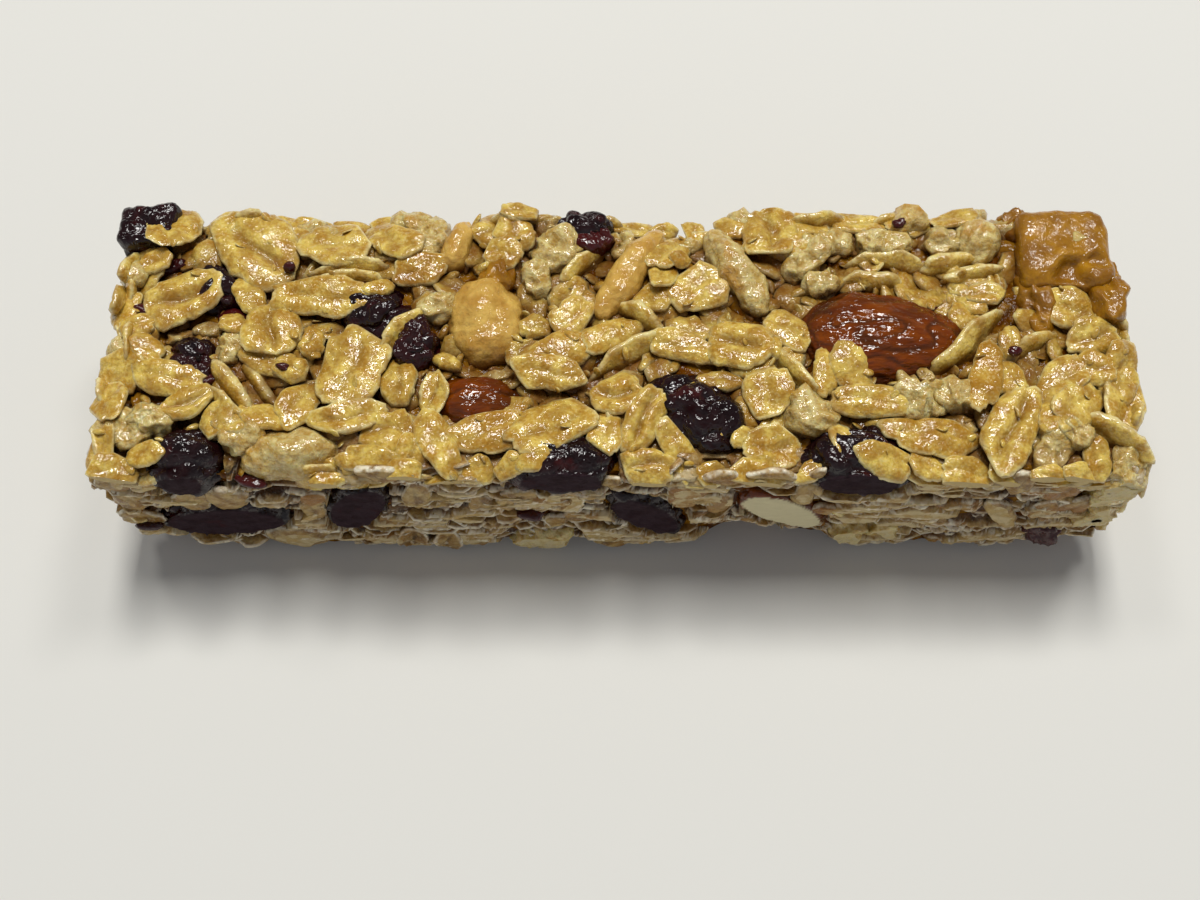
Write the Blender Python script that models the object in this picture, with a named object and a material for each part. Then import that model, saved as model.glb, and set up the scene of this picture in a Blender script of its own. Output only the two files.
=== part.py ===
"""A chewy granola bar: a pressed slab of oat flakes and puffed rice, with almonds, nuts, dried
fruit and large puffed kernels set into its top and its knife-cut front.

Units are metres, +Z is up. X runs along the bar, the cut front faces -Y. The origin is the middle
of the bar's underside, which lies flat at z = 0. Sizes below are millimetres until they are
multiplied by MM.
"""

import math
from dataclasses import dataclass

import bmesh
import bpy
from mathutils import Euler, Matrix, Vector, noise

MM = 0.001

# Driving dimensions of the slab, in millimetres.
BAR_LEFT = -51.0
BAR_RIGHT = 50.6
BAR_FRONT = -15.6
BAR_BACK = 15.6
BAR_TOP = 20.2
GRID_STEP = 2.9         # spacing of the slab's surface points
LUMP_SIZE = 6.4         # one pressed flake, as a lump of the surface
TOP_LUMP = 2.6          # how far lumps stand out of the top and the outer sides
CUT_LUMP = 1.1          # the same on the knife-cut front
BASE_LUMP = 0.5         # the same round the rim of the underside
EDGE_DROP = 1.0         # how much the long edges are worn down
BASE_RIM = 4.0          # the outer part of the underside, which stands clear of the table
RIM_LIFT = 0.9
FRONT_LIFT = 2.4        # extra lift where a stretch of the front's lower edge broke away
FRONT_LIFT_SPAN = (-16.0, 21.0)

# Pieces set into the slab.
POCKET_GAP = 0.34       # clear space between a piece and its pocket
CUT_PLANE = -15.05      # where the knife cut through pieces at the front
FRUIT_SIDES = (10, 7)   # segments and rings of a piece of fruit
NUT_SIDES = (10, 7)
ALMOND_SIDES = (12, 9)
KERNEL_SIDES = (10, 6)
FRUIT_FOLD = 0.10       # depth of a fruit's folds, as a share of its radius
KERNEL_LUMP = 0.08

# Notches where flakes have come away from the long edges: place along X, depth and half width.
BACK_NOTCHES = ((-42.0, 0.9, 1.6), (-16.5, 2.2, 1.8), (6.5, 2.6, 2.2), (20.0, 1.0, 1.2), (40.5, 1.5, 1.3))
FRONT_NOTCHES = ((-34.0, 0.8, 1.8), (-21.0, 0.7, 1.2), (1.0, 0.9, 1.6), (17.5, 0.8, 1.4), (37.0, 0.9, 1.4))


@dataclass(frozen=True)
class Inset:
    """A piece set into the slab: its centre and full size in mm, and its turn about X, Y and Z in degrees."""

    name: str
    centre: tuple
    size: tuple
    turn: tuple = (0.0, 0.0, 0.0)
    cut: bool = False


FRUIT = (
    Inset("fruit_corner", (-48.0, 12.6, 18.2), (5.6, 5.4, 5.0), (0, 0, 20)),
    Inset("fruit_under_flake", (-40.6, 6.0, 17.9), (7.4, 6.4, 5.0), (0, 0, -20)),
    Inset("fruit_small_left", (-41.8, -1.6, 18.4), (4.6, 4.2, 4.4)),
    Inset("fruit_front_left", (-41.6, -12.5, 17.3), (8.4, 6.2, 6.8), (0, 6, 4)),
    Inset("fruit_middle", (-24.6, 3.3, 18.0), (6.6, 6.4, 5.6), (0, 0, 30)),
    Inset("fruit_beside_nut", (-20.0, -0.6, 18.2), (4.6, 4.0, 4.6), (0, 0, -20)),
    Inset("fruit_back", (-3.4, 13.0, 18.2), (6.0, 4.2, 5.0), (0, 0, 5)),
    Inset("raisin_large", (7.0, -7.7, 18.0), (11.0, 8.2, 6.2), (0, 0, -34)),
    Inset("raisin_front", (22.4, -12.4, 17.4), (11.4, 7.6, 6.8), (0, 8, 0), True),
    Inset("fruit_cut_top", (-5.6, -12.8, 18.0), (11.2, 6.4, 5.6), (0, 0, 0), True),
    Inset("fruit_cut_left", (-39.6, -12.6, 8.2), (14.2, 8.6, 7.8), (0, -8, 0), True),
    Inset("fruit_cut_deep", (-26.0, -13.0, 11.3), (12.6, 8.0, 6.0), (0, -66, 0), True),
    Inset("fruit_cut_middle", (2.6, -12.6, 9.6), (12.6, 8.4, 6.4), (0, 52, 0), True),
)

ALMONDS = (
    Inset("almond_top", (26.4, 0.1, 17.2), (19.6, 11.8, 8.0), (6, 0, -3)),
    Inset("almond_tucked", (-13.4, -6.6, 16.8), (11.6, 7.0, 6.6), (0, 0, 8)),
    Inset("almond_cut", (16.6, -12.4, 10.0), (14.6, 9.0, 6.4), (0, 42, 0), True),
)

NUTS = (
    Inset("nut_round", (-13.6, 2.3, 18.0), (8.2, 10.8, 6.4), (0, 0, 6)),
    Inset("nut_long", (0.8, 7.6, 18.8), (12.6, 3.9, 4.0), (0, 0, 60)),
    Inset("nut_slice", (-16.6, 10.9, 18.8), (7.0, 3.0, 3.8), (0, 0, 70)),
    Inset("nut_amber", (44.5, 9.8, 18.2), (9.4, 9.6, 5.4), (0, 0, 15)),
)

KERNELS = (
    Inset("kernel_front", (-31.7, -12.0, 17.9), (10.4, 5.6, 5.4), (0, 0, 5)),
    Inset("crisp_long", (11.6, 7.6, 18.8), (12.0, 4.3, 4.4), (0, 0, -62)),
    Inset("crisp_block", (36.3, 11.6, 18.4), (5.0, 6.8, 4.6)),
)


def clear_scene():
    """Remove every object that the start-up scene holds."""
    for obj in list(bpy.data.objects):
        bpy.data.objects.remove(obj, do_unlink=True)


def linear(hex_colour):
    """The linear RGBA of an sRGB hex colour."""
    channels = [int(hex_colour[i:i + 2], 16) / 255 for i in (1, 3, 5)]
    curve = [c / 12.92 if c <= 0.04045 else ((c + 0.055) / 1.055) ** 2.4 for c in channels]
    return (*curve, 1.0)


def finish(name, hex_colour, roughness):
    """A plain Principled material."""
    material = bpy.data.materials.new(name)
    material.use_nodes = True
    shader = material.node_tree.nodes["Principled BSDF"]
    shader.inputs["Base Color"].default_value = linear(hex_colour)
    shader.inputs["Roughness"].default_value = roughness
    return material


def add_object(name, mesh, material):
    """Link a bmesh, whose points are in mm, as an object in metres."""
    bmesh.ops.scale(mesh, vec=(MM, MM, MM), verts=mesh.verts)
    data = bpy.data.meshes.new(name)
    mesh.to_mesh(data)
    mesh.free()
    data.materials.append(material)
    obj = bpy.data.objects.new(name, data)
    bpy.context.collection.objects.link(obj)
    return obj


def blend(low, high, share):
    """The value that lies the given share of the way from low to high."""
    return low + (high - low) * share


def notch_depth(x, notches):
    """How far an edge steps inwards at x."""
    return sum(depth * math.exp(-((x - place) / half_width) ** 2) for place, depth, half_width in notches)


def lump(point):
    """A rounded lump height, about -0.5 to 0.5, that repeats at the size of a flake."""
    stretched = Vector((point.x, point.y, point.z * 1.5)) / LUMP_SIZE
    nearest = noise.voronoi(stretched)[0][0]
    return 0.5 - nearest


def worn_edge(across, height):
    """The drop of the top near a long edge, for across in -1..1 and height in 0..1."""
    return EDGE_DROP * abs(across) ** 8 * height


def underside(x, across, along):
    """The height of the underside: flat in the middle, lifted round the rim."""
    from_front = (1 + across) / 2 * (BAR_BACK - BAR_FRONT)
    from_back = (1 - across) / 2 * (BAR_BACK - BAR_FRONT)
    from_end = (1 - abs(along)) / 2 * (BAR_RIGHT - BAR_LEFT)
    rim = max(0.0, 1 - min(from_front, from_back, from_end) / BASE_RIM)
    height = RIM_LIFT * rim * (1.2 + 1.6 * lump(Vector((x, across * 15, 0))))
    start, end = FRONT_LIFT_SPAN
    if start < x < end and from_front < 2 * BASE_RIM:
        swell = math.sin(math.pi * (x - start) / (end - start))
        height += FRONT_LIFT * swell * (1 - from_front / (2 * BASE_RIM))
    return max(0.0, height)


def slab_point(along, across, height):
    """Where a surface point of the unit block lies on the slab, in mm.

    along and across run from -1 to 1, height from 0 to 1.
    """
    left = BAR_LEFT + 1.1 - 0.3 * across
    right = BAR_RIGHT - 1.2 - 0.6 * across
    x = blend(left, right, (along + 1) / 2)
    front = BAR_FRONT + 0.5 + notch_depth(x, FRONT_NOTCHES) * height
    back = BAR_BACK - 0.9 - notch_depth(x, BACK_NOTCHES) * height
    y = blend(front, back, (across + 1) / 2)
    z = blend(underside(x, across, along), BAR_TOP - 1.0, height) - worn_edge(across, height)
    point = Vector((x, y, z))

    out = Vector((0, 0, 0))
    if abs(along) == 1:
        out += Vector((along, 0, 0)) * TOP_LUMP
    if across == 1:
        out += Vector((0, 1, 0)) * TOP_LUMP
    if across == -1:
        out += Vector((0, -1, 0)) * CUT_LUMP
    if height == 1:
        out += Vector((0, 0, 1)) * TOP_LUMP
    if height == 0:
        out *= BASE_LUMP
    return point + out * lump(point)


def box_grid(steps):
    """The surface of a unit block as (grid points, quads), with steps cells along each axis."""
    points = {}
    quads = []

    def index(cell):
        return points.setdefault(cell, len(points))

    for axis in range(3):
        first, second = (axis + 1) % 3, (axis + 2) % 3
        for side in (0, steps[axis]):
            for i in range(steps[first]):
                for j in range(steps[second]):
                    corners = []
                    for di, dj in ((0, 0), (1, 0), (1, 1), (0, 1)):
                        cell = [0, 0, 0]
                        cell[axis], cell[first], cell[second] = side, i + di, j + dj
                        corners.append(index(tuple(cell)))
                    quads.append(corners if side else corners[::-1])
    return list(points), quads


def build_slab(material):
    """The pressed slab of flakes, before any pocket is cut."""
    sizes = (BAR_RIGHT - BAR_LEFT, BAR_BACK - BAR_FRONT, BAR_TOP)
    steps = [round(size / GRID_STEP) for size in sizes]
    cells, quads = box_grid(steps)
    mesh = bmesh.new()
    for i, j, k in cells:
        mesh.verts.new(slab_point(2 * i / steps[0] - 1, 2 * j / steps[1] - 1, k / steps[2]))
    mesh.verts.ensure_lookup_table()
    for quad in quads:
        mesh.faces.new([mesh.verts[i] for i in quad])
    for vert in mesh.verts:
        vert.co.x = min(max(vert.co.x, BAR_LEFT), BAR_RIGHT)
        vert.co.y = min(max(vert.co.y, BAR_FRONT), BAR_BACK)
    return add_object("oat_slab", mesh, material)


def round_body(sides):
    """A ball of radius 1 with the given segments and rings, its poles on X."""
    mesh = bmesh.new()
    bmesh.ops.create_uvsphere(mesh, u_segments=sides[0], v_segments=sides[1], radius=1.0)
    bmesh.ops.rotate(mesh, verts=mesh.verts, cent=(0, 0, 0), matrix=Matrix.Rotation(math.pi / 2, 3, "Y"))
    return mesh


def fold_fruit(mesh, seed):
    """Draw a ball into the soft folds of a dried fruit."""
    for vert in mesh.verts:
        angle = math.atan2(vert.co.z, vert.co.y)
        ridge = (1 - vert.co.x ** 2) * math.sin(4 * angle + 2.2 * vert.co.x + seed)
        sag = noise.noise(vert.co * 1.3 + Vector((seed, 0, 0)))
        vert.co *= 1 + FRUIT_FOLD * (0.6 * ridge + sag)


def puff_kernel(mesh, seed):
    """Swell a ball into the blistered shape of a puffed grain."""
    for vert in mesh.verts:
        vert.co *= 1 + KERNEL_LUMP * noise.noise(vert.co * 1.8 + Vector((0, seed, 0)))


def point_almond(mesh, _seed):
    """Draw a ball out to an almond: blunt at -X, pointed at +X, a little flat below."""
    for vert in mesh.verts:
        x = max(-1.0, min(1.0, vert.co.x))
        ball = math.sqrt(max(1e-6, 1 - x * x))
        girth = (1 + x) ** 0.5 * (1 - x) ** 0.78 / 1.03
        swell = girth / ball if ball > 0.01 else 1.0
        vert.co.y *= swell
        vert.co.z *= swell * (0.9 if vert.co.z < 0 else 1.0)


def round_nut(mesh, seed):
    """Leave a nut nearly round, with a slight waist and one flatter side."""
    for vert in mesh.verts:
        waist = 1 - 0.05 * math.cos(3 * vert.co.x + seed)
        vert.co.y *= waist
        vert.co.z *= waist


def shape_to_size(mesh, inset):
    """Scale a body to the inset's full size, then turn it and move it into place."""
    spans = [max(v.co[i] for v in mesh.verts) - min(v.co[i] for v in mesh.verts) for i in range(3)]
    turn = Euler([math.radians(a) for a in inset.turn]).to_matrix()
    for vert in mesh.verts:
        scaled = Vector([vert.co[i] * inset.size[i] / spans[i] for i in range(3)])
        vert.co = turn @ scaled + Vector(inset.centre)


def cut_at_front(mesh):
    """Slice the body off flat where the knife passed, and close the cut."""
    everything = mesh.verts[:] + mesh.edges[:] + mesh.faces[:]
    cut = bmesh.ops.bisect_plane(
        mesh, geom=everything, plane_co=(0, CUT_PLANE, 0), plane_no=(0, -1, 0), clear_outer=True
    )
    rim = [item for item in cut["geom_cut"] if isinstance(item, bmesh.types.BMEdge)]
    bmesh.ops.contextual_create(mesh, geom=rim)
    bmesh.ops.recalc_face_normals(mesh, faces=mesh.faces)


def build_inset(inset, seed, sides, form, material):
    """One piece set into the slab, and the cutter that makes its pocket."""
    mesh = round_body(sides)
    form(mesh, seed)
    shape_to_size(mesh, inset)

    swollen = mesh.copy()
    swollen.normal_update()
    for vert, out in [(v, v.normal.copy()) for v in swollen.verts]:
        vert.co += out * POCKET_GAP
    cutter = add_object("pocket_of_" + inset.name, swollen, material)
    cutter.hide_render = True
    cutter.display_type = "WIRE"

    if inset.cut:
        cut_at_front(mesh)
    piece = add_object(inset.name, mesh, material)
    piece.data.shade_smooth()
    return piece, cutter


def cut_pocket(slab, cutter):
    """Take one pocket out of the slab."""
    pocket = slab.modifiers.new(cutter.name, "BOOLEAN")
    pocket.operation = "DIFFERENCE"
    pocket.solver = "EXACT"
    pocket.object = cutter


def main():
    """Build the slab, then every piece set into it with its pocket."""
    clear_scene()
    slab = build_slab(finish("toasted_oats", "#c49a58", 0.55))
    families = (
        (FRUIT, FRUIT_SIDES, fold_fruit, finish("dried_fruit", "#2a1a1c", 0.3)),
        (ALMONDS, ALMOND_SIDES, point_almond, finish("almond_skin", "#7b4a24", 0.4)),
        (NUTS, NUT_SIDES, round_nut, finish("roasted_nut", "#d2aa62", 0.4)),
        (KERNELS, KERNEL_SIDES, puff_kernel, finish("puffed_rice", "#cdb482", 0.5)),
    )
    seed = 0
    for insets, sides, form, material in families:
        for inset in insets:
            seed += 1
            _, cutter = build_inset(inset, seed, sides, form, material)
            cut_pocket(slab, cutter)


main()
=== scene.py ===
"""Looks of a chewy granola bar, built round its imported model.

The bar is a pressed slab of oat flakes and puffed rice, glued with syrup, with almonds, nuts and
dried fruit set into it. Its front (-Y) is cut clean by a knife. Lengths in this file are in
millimetres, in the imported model's own frame, until a mesh is made; Blender's meshes are in metres.
"""

import itertools
import logging
import math
from dataclasses import dataclass, field
from enum import Enum
from typing import Iterable, Optional, Sequence, Union

import bmesh
import bpy
import numpy as np
from mathutils import Euler, Matrix, Vector
from mathutils.bvhtree import BVHTree


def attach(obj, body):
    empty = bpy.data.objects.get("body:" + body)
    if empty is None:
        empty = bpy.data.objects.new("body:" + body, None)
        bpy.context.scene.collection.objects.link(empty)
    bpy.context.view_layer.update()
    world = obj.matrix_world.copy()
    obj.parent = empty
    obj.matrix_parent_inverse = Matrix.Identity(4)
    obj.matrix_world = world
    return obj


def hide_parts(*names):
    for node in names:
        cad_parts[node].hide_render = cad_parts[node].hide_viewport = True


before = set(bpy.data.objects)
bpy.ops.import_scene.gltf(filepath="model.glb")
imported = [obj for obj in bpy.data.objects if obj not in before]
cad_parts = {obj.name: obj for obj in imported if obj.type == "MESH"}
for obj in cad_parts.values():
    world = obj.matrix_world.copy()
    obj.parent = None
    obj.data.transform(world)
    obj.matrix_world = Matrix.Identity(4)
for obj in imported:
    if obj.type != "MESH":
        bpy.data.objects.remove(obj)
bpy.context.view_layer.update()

MM = 0.001
BODY = "root"
CUT_PLANE = -15.1           # where the knife passed, along Y
UNDERSIDE = 0.04            # the flakes below are pressed flat at this height
OUTLINE = ((-50.6, CUT_PLANE, 0.0), (50.0, 15.3, 20.3))     # the pressed bar's plain block
PRESSED = ((-50.9, -40.0, 0.0), (50.2, 15.35, 20.9))        # what stands out past this is pressed back,
PRESS = 0.88                                                # by this share of how far it stands out
MARKS = ("toast", "rim", "crease", "cut")
TABLE = 4096                # rows in a table of scattered cells,
MIXERS = (73856093, 19349663, 83492791)     # and the primes that pick one from a cell's numbers
TOP_SEED, FRONT_SEED, SCRAP_SEED, WALL_SEED = 1000, 3000, 4000, 500     # where each group's seeds start
PALE = 0.05                 # how toasted a puffed grain is where nothing else is said

log = logging.getLogger("granola_bar")
Socket = bpy.types.NodeSocket
Mesh = bpy.types.Mesh
Array = np.ndarray
Rng = np.random.Generator
Marks = dict[str, Array]                    # a value per point for each mark
Paint = dict[str, bpy.types.Material]       # each finish by its name

# kinds of node that several trees use: type, settings, and which output is the value
NOISE, BUMP = ("ShaderNodeTexNoise", {}, 0), ("ShaderNodeBump", {}, 0)
EASE = ("ShaderNodeMapRange", {"interpolation_type": "SMOOTHSTEP"}, 0)
MIX = ("ShaderNodeMix", {"data_type": "RGBA"}, 2)
RANDOM = ("FunctionNodeRandomValue", {"data_type": "FLOAT"}, 1)
TIMES, PLUS, LESS, MOST = (
    ("ShaderNodeMath", {"operation": name}, 0) for name in ("MULTIPLY", "ADD", "SUBTRACT", "MAXIMUM")
)


# ---------------------------------------------------------------- meshes and fields


def smooth_step(value: Array, low: float, high: float) -> Array:
    """Values mapped to 0..1 between two limits, easing at both ends."""
    t = np.clip((value - low) / (high - low), 0.0, 1.0)
    return t * t * (3 - 2 * t)


class Ripples:
    """Smooth unevenness that repeats from run to run: sine waves in seeded directions."""

    def __init__(self, rng: Rng, size: float, count: int = 7) -> None:
        """Draw the waves.

        Args:
            rng: the seeded source of directions and phases.
            size: the usual wavelength in mm.
            count: how many waves are summed.
        """
        direction = rng.normal(size=(count, 3))
        direction /= np.linalg.norm(direction, axis=1, keepdims=True)
        self.waves = direction * 2 * math.pi / (size * rng.uniform(0.6, 1.7, size=(count, 1)))
        self.phases = rng.uniform(0, 2 * math.pi, size=count)

    def at(self, points: Array) -> Array:
        """The height of the waves at each point, mostly within -1.5 to 1.5."""
        return np.sin(points @ self.waves.T + self.phases).sum(axis=1) / math.sqrt(len(self.phases))


def cell_distance(points: Array, size: float, seed: int) -> Array:
    """How far each point is from the nearest of many scattered seeds.

    Args:
        points: places in mm.
        size: the usual distance between seeds, in mm.
        seed: fixes where the seeds are.

    Returns:
        Distances in units of size: 0 at a seed, about 0.9 half way between seeds.
    """
    table = np.random.default_rng(seed).uniform(0.0, 1.0, size=(TABLE, 3))
    scaled = points / size
    home = np.floor(scaled).astype(np.int64)
    best = np.full(len(points), 9.0)
    for step in itertools.product((-1, 0, 1), repeat=3):
        cell = home + np.array(step)
        away = cell + table[(cell @ np.array(MIXERS)) % TABLE] - scaled
        best = np.minimum(best, (away ** 2).sum(axis=1))
    return np.sqrt(best)


@dataclass(frozen=True)
class Cells:
    """Which scattered cell each of some places on a plane falls in, and where in the cell it is."""

    offset: Array      # from the cell's own seed, in cell units, one pair per place
    gap: Array         # how much farther off the next cell's seed is: 0 on a border
    values: Array      # four values of 0 to 1 that each cell keeps

    @classmethod
    def over(cls, places: Array, seed: int) -> "Cells":
        """Find the cells.

        Args:
            places: two coordinates each, in units of the cells' usual size.
            seed: fixes where the cells are.

        Returns:
            The cells of all the places.
        """
        table = np.random.default_rng(seed).uniform(0.0, 1.0, size=(TABLE, 6))
        home = np.floor(places).astype(np.int64)
        nearest, second = np.full(len(places), 9.0), np.full(len(places), 9.0)
        owner = np.zeros(len(places), np.int64)
        offset = np.zeros_like(places)
        for step in itertools.product((-1, 0, 1), repeat=2):
            cell = home + np.array(step)
            code = (cell @ np.array(MIXERS[:2])) % TABLE
            away = places - cell - table[code, :2]
            distance = np.hypot(away[:, 0], away[:, 1])
            closer = distance < nearest
            second = np.where(closer, nearest, np.minimum(second, distance))
            owner = np.where(closer, code, owner)
            offset = np.where(closer[:, None], away, offset)
            nearest = np.minimum(nearest, distance)
        return cls(offset, second - nearest, table[owner, 2:])


@dataclass
class Solid:
    """One small closed body as arrays, in mm: points, faces, and a value per point for each mark."""

    points: Array
    faces: list[tuple[int, ...]]
    marks: Marks = field(default_factory=dict)

    def placed(self, turn: Matrix, centre: Sequence[float]) -> "Solid":
        """The body turned and then moved to a centre."""
        points = self.points @ np.array(turn).T + np.array(centre, float)
        return Solid(points, self.faces, self.marks)


class Batch:
    """Many bodies of one kind, gathered to become one mesh."""

    def __init__(self) -> None:
        """Start with nothing gathered."""
        self.points: list[Array] = []
        self.faces: list[tuple[int, ...]] = []
        self.marks: dict[str, list[Array]] = {name: [] for name in MARKS}
        self.count = 0

    def add(self, solid: Solid) -> None:
        """Gather one body.

        Args:
            solid: the body, in its place.
        """
        start = self.count
        self.points.append(solid.points)
        self.faces.extend(tuple(i + start for i in face) for face in solid.faces)
        for name, parts in self.marks.items():
            parts.append(solid.marks.get(name, np.zeros(len(solid.points))))
        self.count += len(solid.points)

    def mesh(self, name: str) -> Mesh:
        """The gathered bodies as one mesh of this name, pressed into the bar's block."""
        marks = {mark: np.concatenate(parts) for mark, parts in self.marks.items()}
        return make_mesh(name, pressed(np.concatenate(self.points)), self.faces, marks)


def make_mesh(name: str, points: Array, faces: Sequence[Sequence[int]], marks: Marks) -> Mesh:
    """Make a smooth shaded mesh, in metres.

    Args:
        name: what it is called.
        points: its points in mm.
        faces: its faces, as numbers of points.
        marks: a value per point for each mark.

    Returns:
        The new mesh.
    """
    data = bpy.data.meshes.new(name)
    data.from_pydata((points * MM).tolist(), [], faces)
    for mark, values in marks.items():
        put_mark(data, mark, values)
    data.polygons.foreach_set("use_smooth", [True] * len(data.polygons))
    data.update()
    return data


def pressed(points: Array) -> Array:
    """Points squeezed into the pressed bar's block, but for its front, which the knife trims later."""
    low, high = np.array(PRESSED)
    return points - PRESS * np.maximum(points - high, 0.0) + PRESS * np.maximum(low - points, 0.0)


def put_mark(data: Mesh, mark: str, values: Array) -> None:
    """Store one value per point on a mesh, for its material to read."""
    layer = data.attributes.new(mark, "FLOAT", "POINT")
    layer.data.foreach_set("value", values.astype(np.float32))


def read_vectors(items: bpy.types.bpy_prop_collection, key: str) -> Array:
    """Read one vector per item of a mesh.

    Args:
        items: its points or its normals.
        key: the vector's name in each.

    Returns:
        The vectors, one a row.
    """
    flat = np.empty(len(items) * 3, np.float32)
    items.foreach_get(key, flat)
    return flat.reshape(-1, 3).astype(float)


def surface_of(data: Mesh) -> tuple[Array, Array]:
    """A mesh's points in mm, and the normal at each."""
    return read_vectors(data.vertices, "co") / MM, read_vectors(data.vertex_normals, "vector")


def move_points(data: Mesh, points: Array) -> None:
    """Put a mesh's points at new places, given in mm."""
    data.vertices.foreach_set("co", (points * MM).astype(np.float32).ravel())
    data.update()


def link_object(name: str, data: Mesh, material: Optional[bpy.types.Material] = None) -> bpy.types.Object:
    """Put a mesh into the scene as an object at the origin.

    Args:
        name: the object's name.
        data: its mesh.
        material: its only material, where it needs one.

    Returns:
        The new object.
    """
    if material:
        data.materials.clear()
        data.materials.append(material)
    obj = bpy.data.objects.new(name, data)
    bpy.context.scene.collection.objects.link(obj)
    return obj


def applied(obj: bpy.types.Object) -> Mesh:
    """Turn an object into the plain mesh that its modifiers make.

    Args:
        obj: the object; it is removed.

    Returns:
        The new mesh.
    """
    graph = bpy.context.evaluated_depsgraph_get()
    data = bpy.data.meshes.new_from_object(obj.evaluated_get(graph), depsgraph=graph)
    bpy.data.objects.remove(obj)
    return data


def skin_of(nodes: Iterable[str], voxel: float, rounding: int = 0) -> Mesh:
    """One even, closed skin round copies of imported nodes.

    Args:
        nodes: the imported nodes' names.
        voxel: the size of the skin's faces, in mm.
        rounding: subdivisions that round the copy off before it is skinned.

    Returns:
        The skin as a new mesh, in metres.
    """
    shape = bmesh.new()
    for name in nodes:
        shape.from_mesh(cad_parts[name].data)
    bmesh.ops.remove_doubles(shape, verts=shape.verts, dist=0.004 * MM)
    if rounding:
        keep_cut_rim(shape)
    data = bpy.data.meshes.new("skin")
    shape.to_mesh(data)
    shape.free()
    obj = link_object("skin", data)
    if rounding:
        round_off = obj.modifiers.new("round", "SUBSURF")
        round_off.levels = round_off.render_levels = rounding
    remesh = obj.modifiers.new("skin", "REMESH")
    remesh.mode = "VOXEL"
    remesh.voxel_size = voxel * MM
    remesh.use_smooth_shade = True
    return applied(obj)


def keep_cut_rim(shape: bmesh.types.BMesh) -> None:
    """Crease the rim of the face that the knife made, so that rounding leaves it crisp.

    Args:
        shape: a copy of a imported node; it is changed.
    """
    layer = shape.edges.layers.float.new("crease_edge")
    for edge in shape.edges:
        cut = [
            face.normal.y < -0.9 and abs(face.calc_center_median().y / MM - CUT_PLANE) < 0.4
            for face in edge.link_faces
        ]
        if any(cut) and not all(cut):
            edge[layer] = 1.0


def show(
    name: str, data: Mesh, material: bpy.types.Material, nodes: Iterable[str] = ()
) -> None:
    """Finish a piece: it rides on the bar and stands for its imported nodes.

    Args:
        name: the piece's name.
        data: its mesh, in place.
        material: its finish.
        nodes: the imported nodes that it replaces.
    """
    piece = link_object(name, data, material)
    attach(piece, BODY)
    if nodes:
        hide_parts(*nodes)
    triangles = sum(len(face.vertices) - 2 for face in data.polygons)
    log.info("%s: %d triangles", name, triangles)


def trim(data: Mesh, axis: int, side: float, at: float) -> None:
    """Cut closed bodies off along a plane and close them, marking the new faces as cut.

    Args:
        data: the mesh of the bodies; it is changed.
        axis: 0, 1 or 2, the axis that the plane stands across.
        side: -1 or 1, the direction along the axis that is cut away.
        at: the plane's place on the axis, in mm.
    """
    normal = Vector([side if i == axis else 0.0 for i in range(3)])
    place = Vector([at * MM if i == axis else 0.0 for i in range(3)])
    shape = bmesh.new()
    shape.from_mesh(data)
    layer = shape.faces.layers.float.get("cut_face") or shape.faces.layers.float.new("cut_face")
    everything = shape.verts[:] + shape.edges[:] + shape.faces[:]
    bmesh.ops.bisect_plane(
        shape, geom=everything, dist=0.002 * MM, plane_co=place, plane_no=normal, clear_outer=True
    )
    open_rim = [edge for edge in shape.edges if edge.is_boundary]
    made = bmesh.ops.holes_fill(shape, edges=open_rim, sides=0)["faces"]
    left_open = [edge for edge in shape.edges if edge.is_boundary]
    if left_open:
        filled = bmesh.ops.triangle_fill(
            shape, edges=left_open, use_beauty=True, use_dissolve=False, normal=normal
        )
        made += [item for item in filled["geom"] if isinstance(item, bmesh.types.BMFace)]
    for face in made:
        face.smooth = False
        if face.normal.dot(normal) < 0:
            face.normal_flip()
        for edge in face.edges:
            edge.smooth = False
        face[layer] = 1.0
    loose = [vert for vert in shape.verts if not vert.link_faces]
    bmesh.ops.delete(shape, geom=loose, context="VERTS")
    shape.to_mesh(data)
    shape.free()


# ---------------------------------------------------------------- finishes


def linear(hex_colour: str) -> tuple[float, float, float, float]:
    """The linear RGBA of an sRGB hex colour.

    Args:
        hex_colour: a colour such as "#cca85c".

    Returns:
        Red, green, blue and an alpha of 1, as a shader takes them.
    """
    channels = [int(hex_colour[i:i + 2], 16) / 255 for i in (1, 3, 5)]
    curve = [c / 12.92 if c <= 0.04045 else ((c + 0.055) / 1.055) ** 2.4 for c in channels]
    return (curve[0], curve[1], curve[2], 1.0)


def add_node(
    tree: bpy.types.NodeTree, kind: str, settings: Optional[dict] = None, links: Optional[dict] = None
) -> bpy.types.Node:
    """Add a node to a shader or geometry tree.

    Args:
        tree: the tree that the node joins.
        kind: the node's type name.
        settings: values by the node's own property name, or by input name or number.
        links: output sockets by the input name or number that each goes to.

    Returns:
        The new node.
    """
    node = tree.nodes.new(kind)
    for name, value in (settings or {}).items():
        if isinstance(name, str) and hasattr(node, name):
            setattr(node, name, value)
        else:
            node.inputs[name].default_value = value
    for name, source in (links or {}).items():
        tree.links.new(source, node.inputs[name])
    return node


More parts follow.
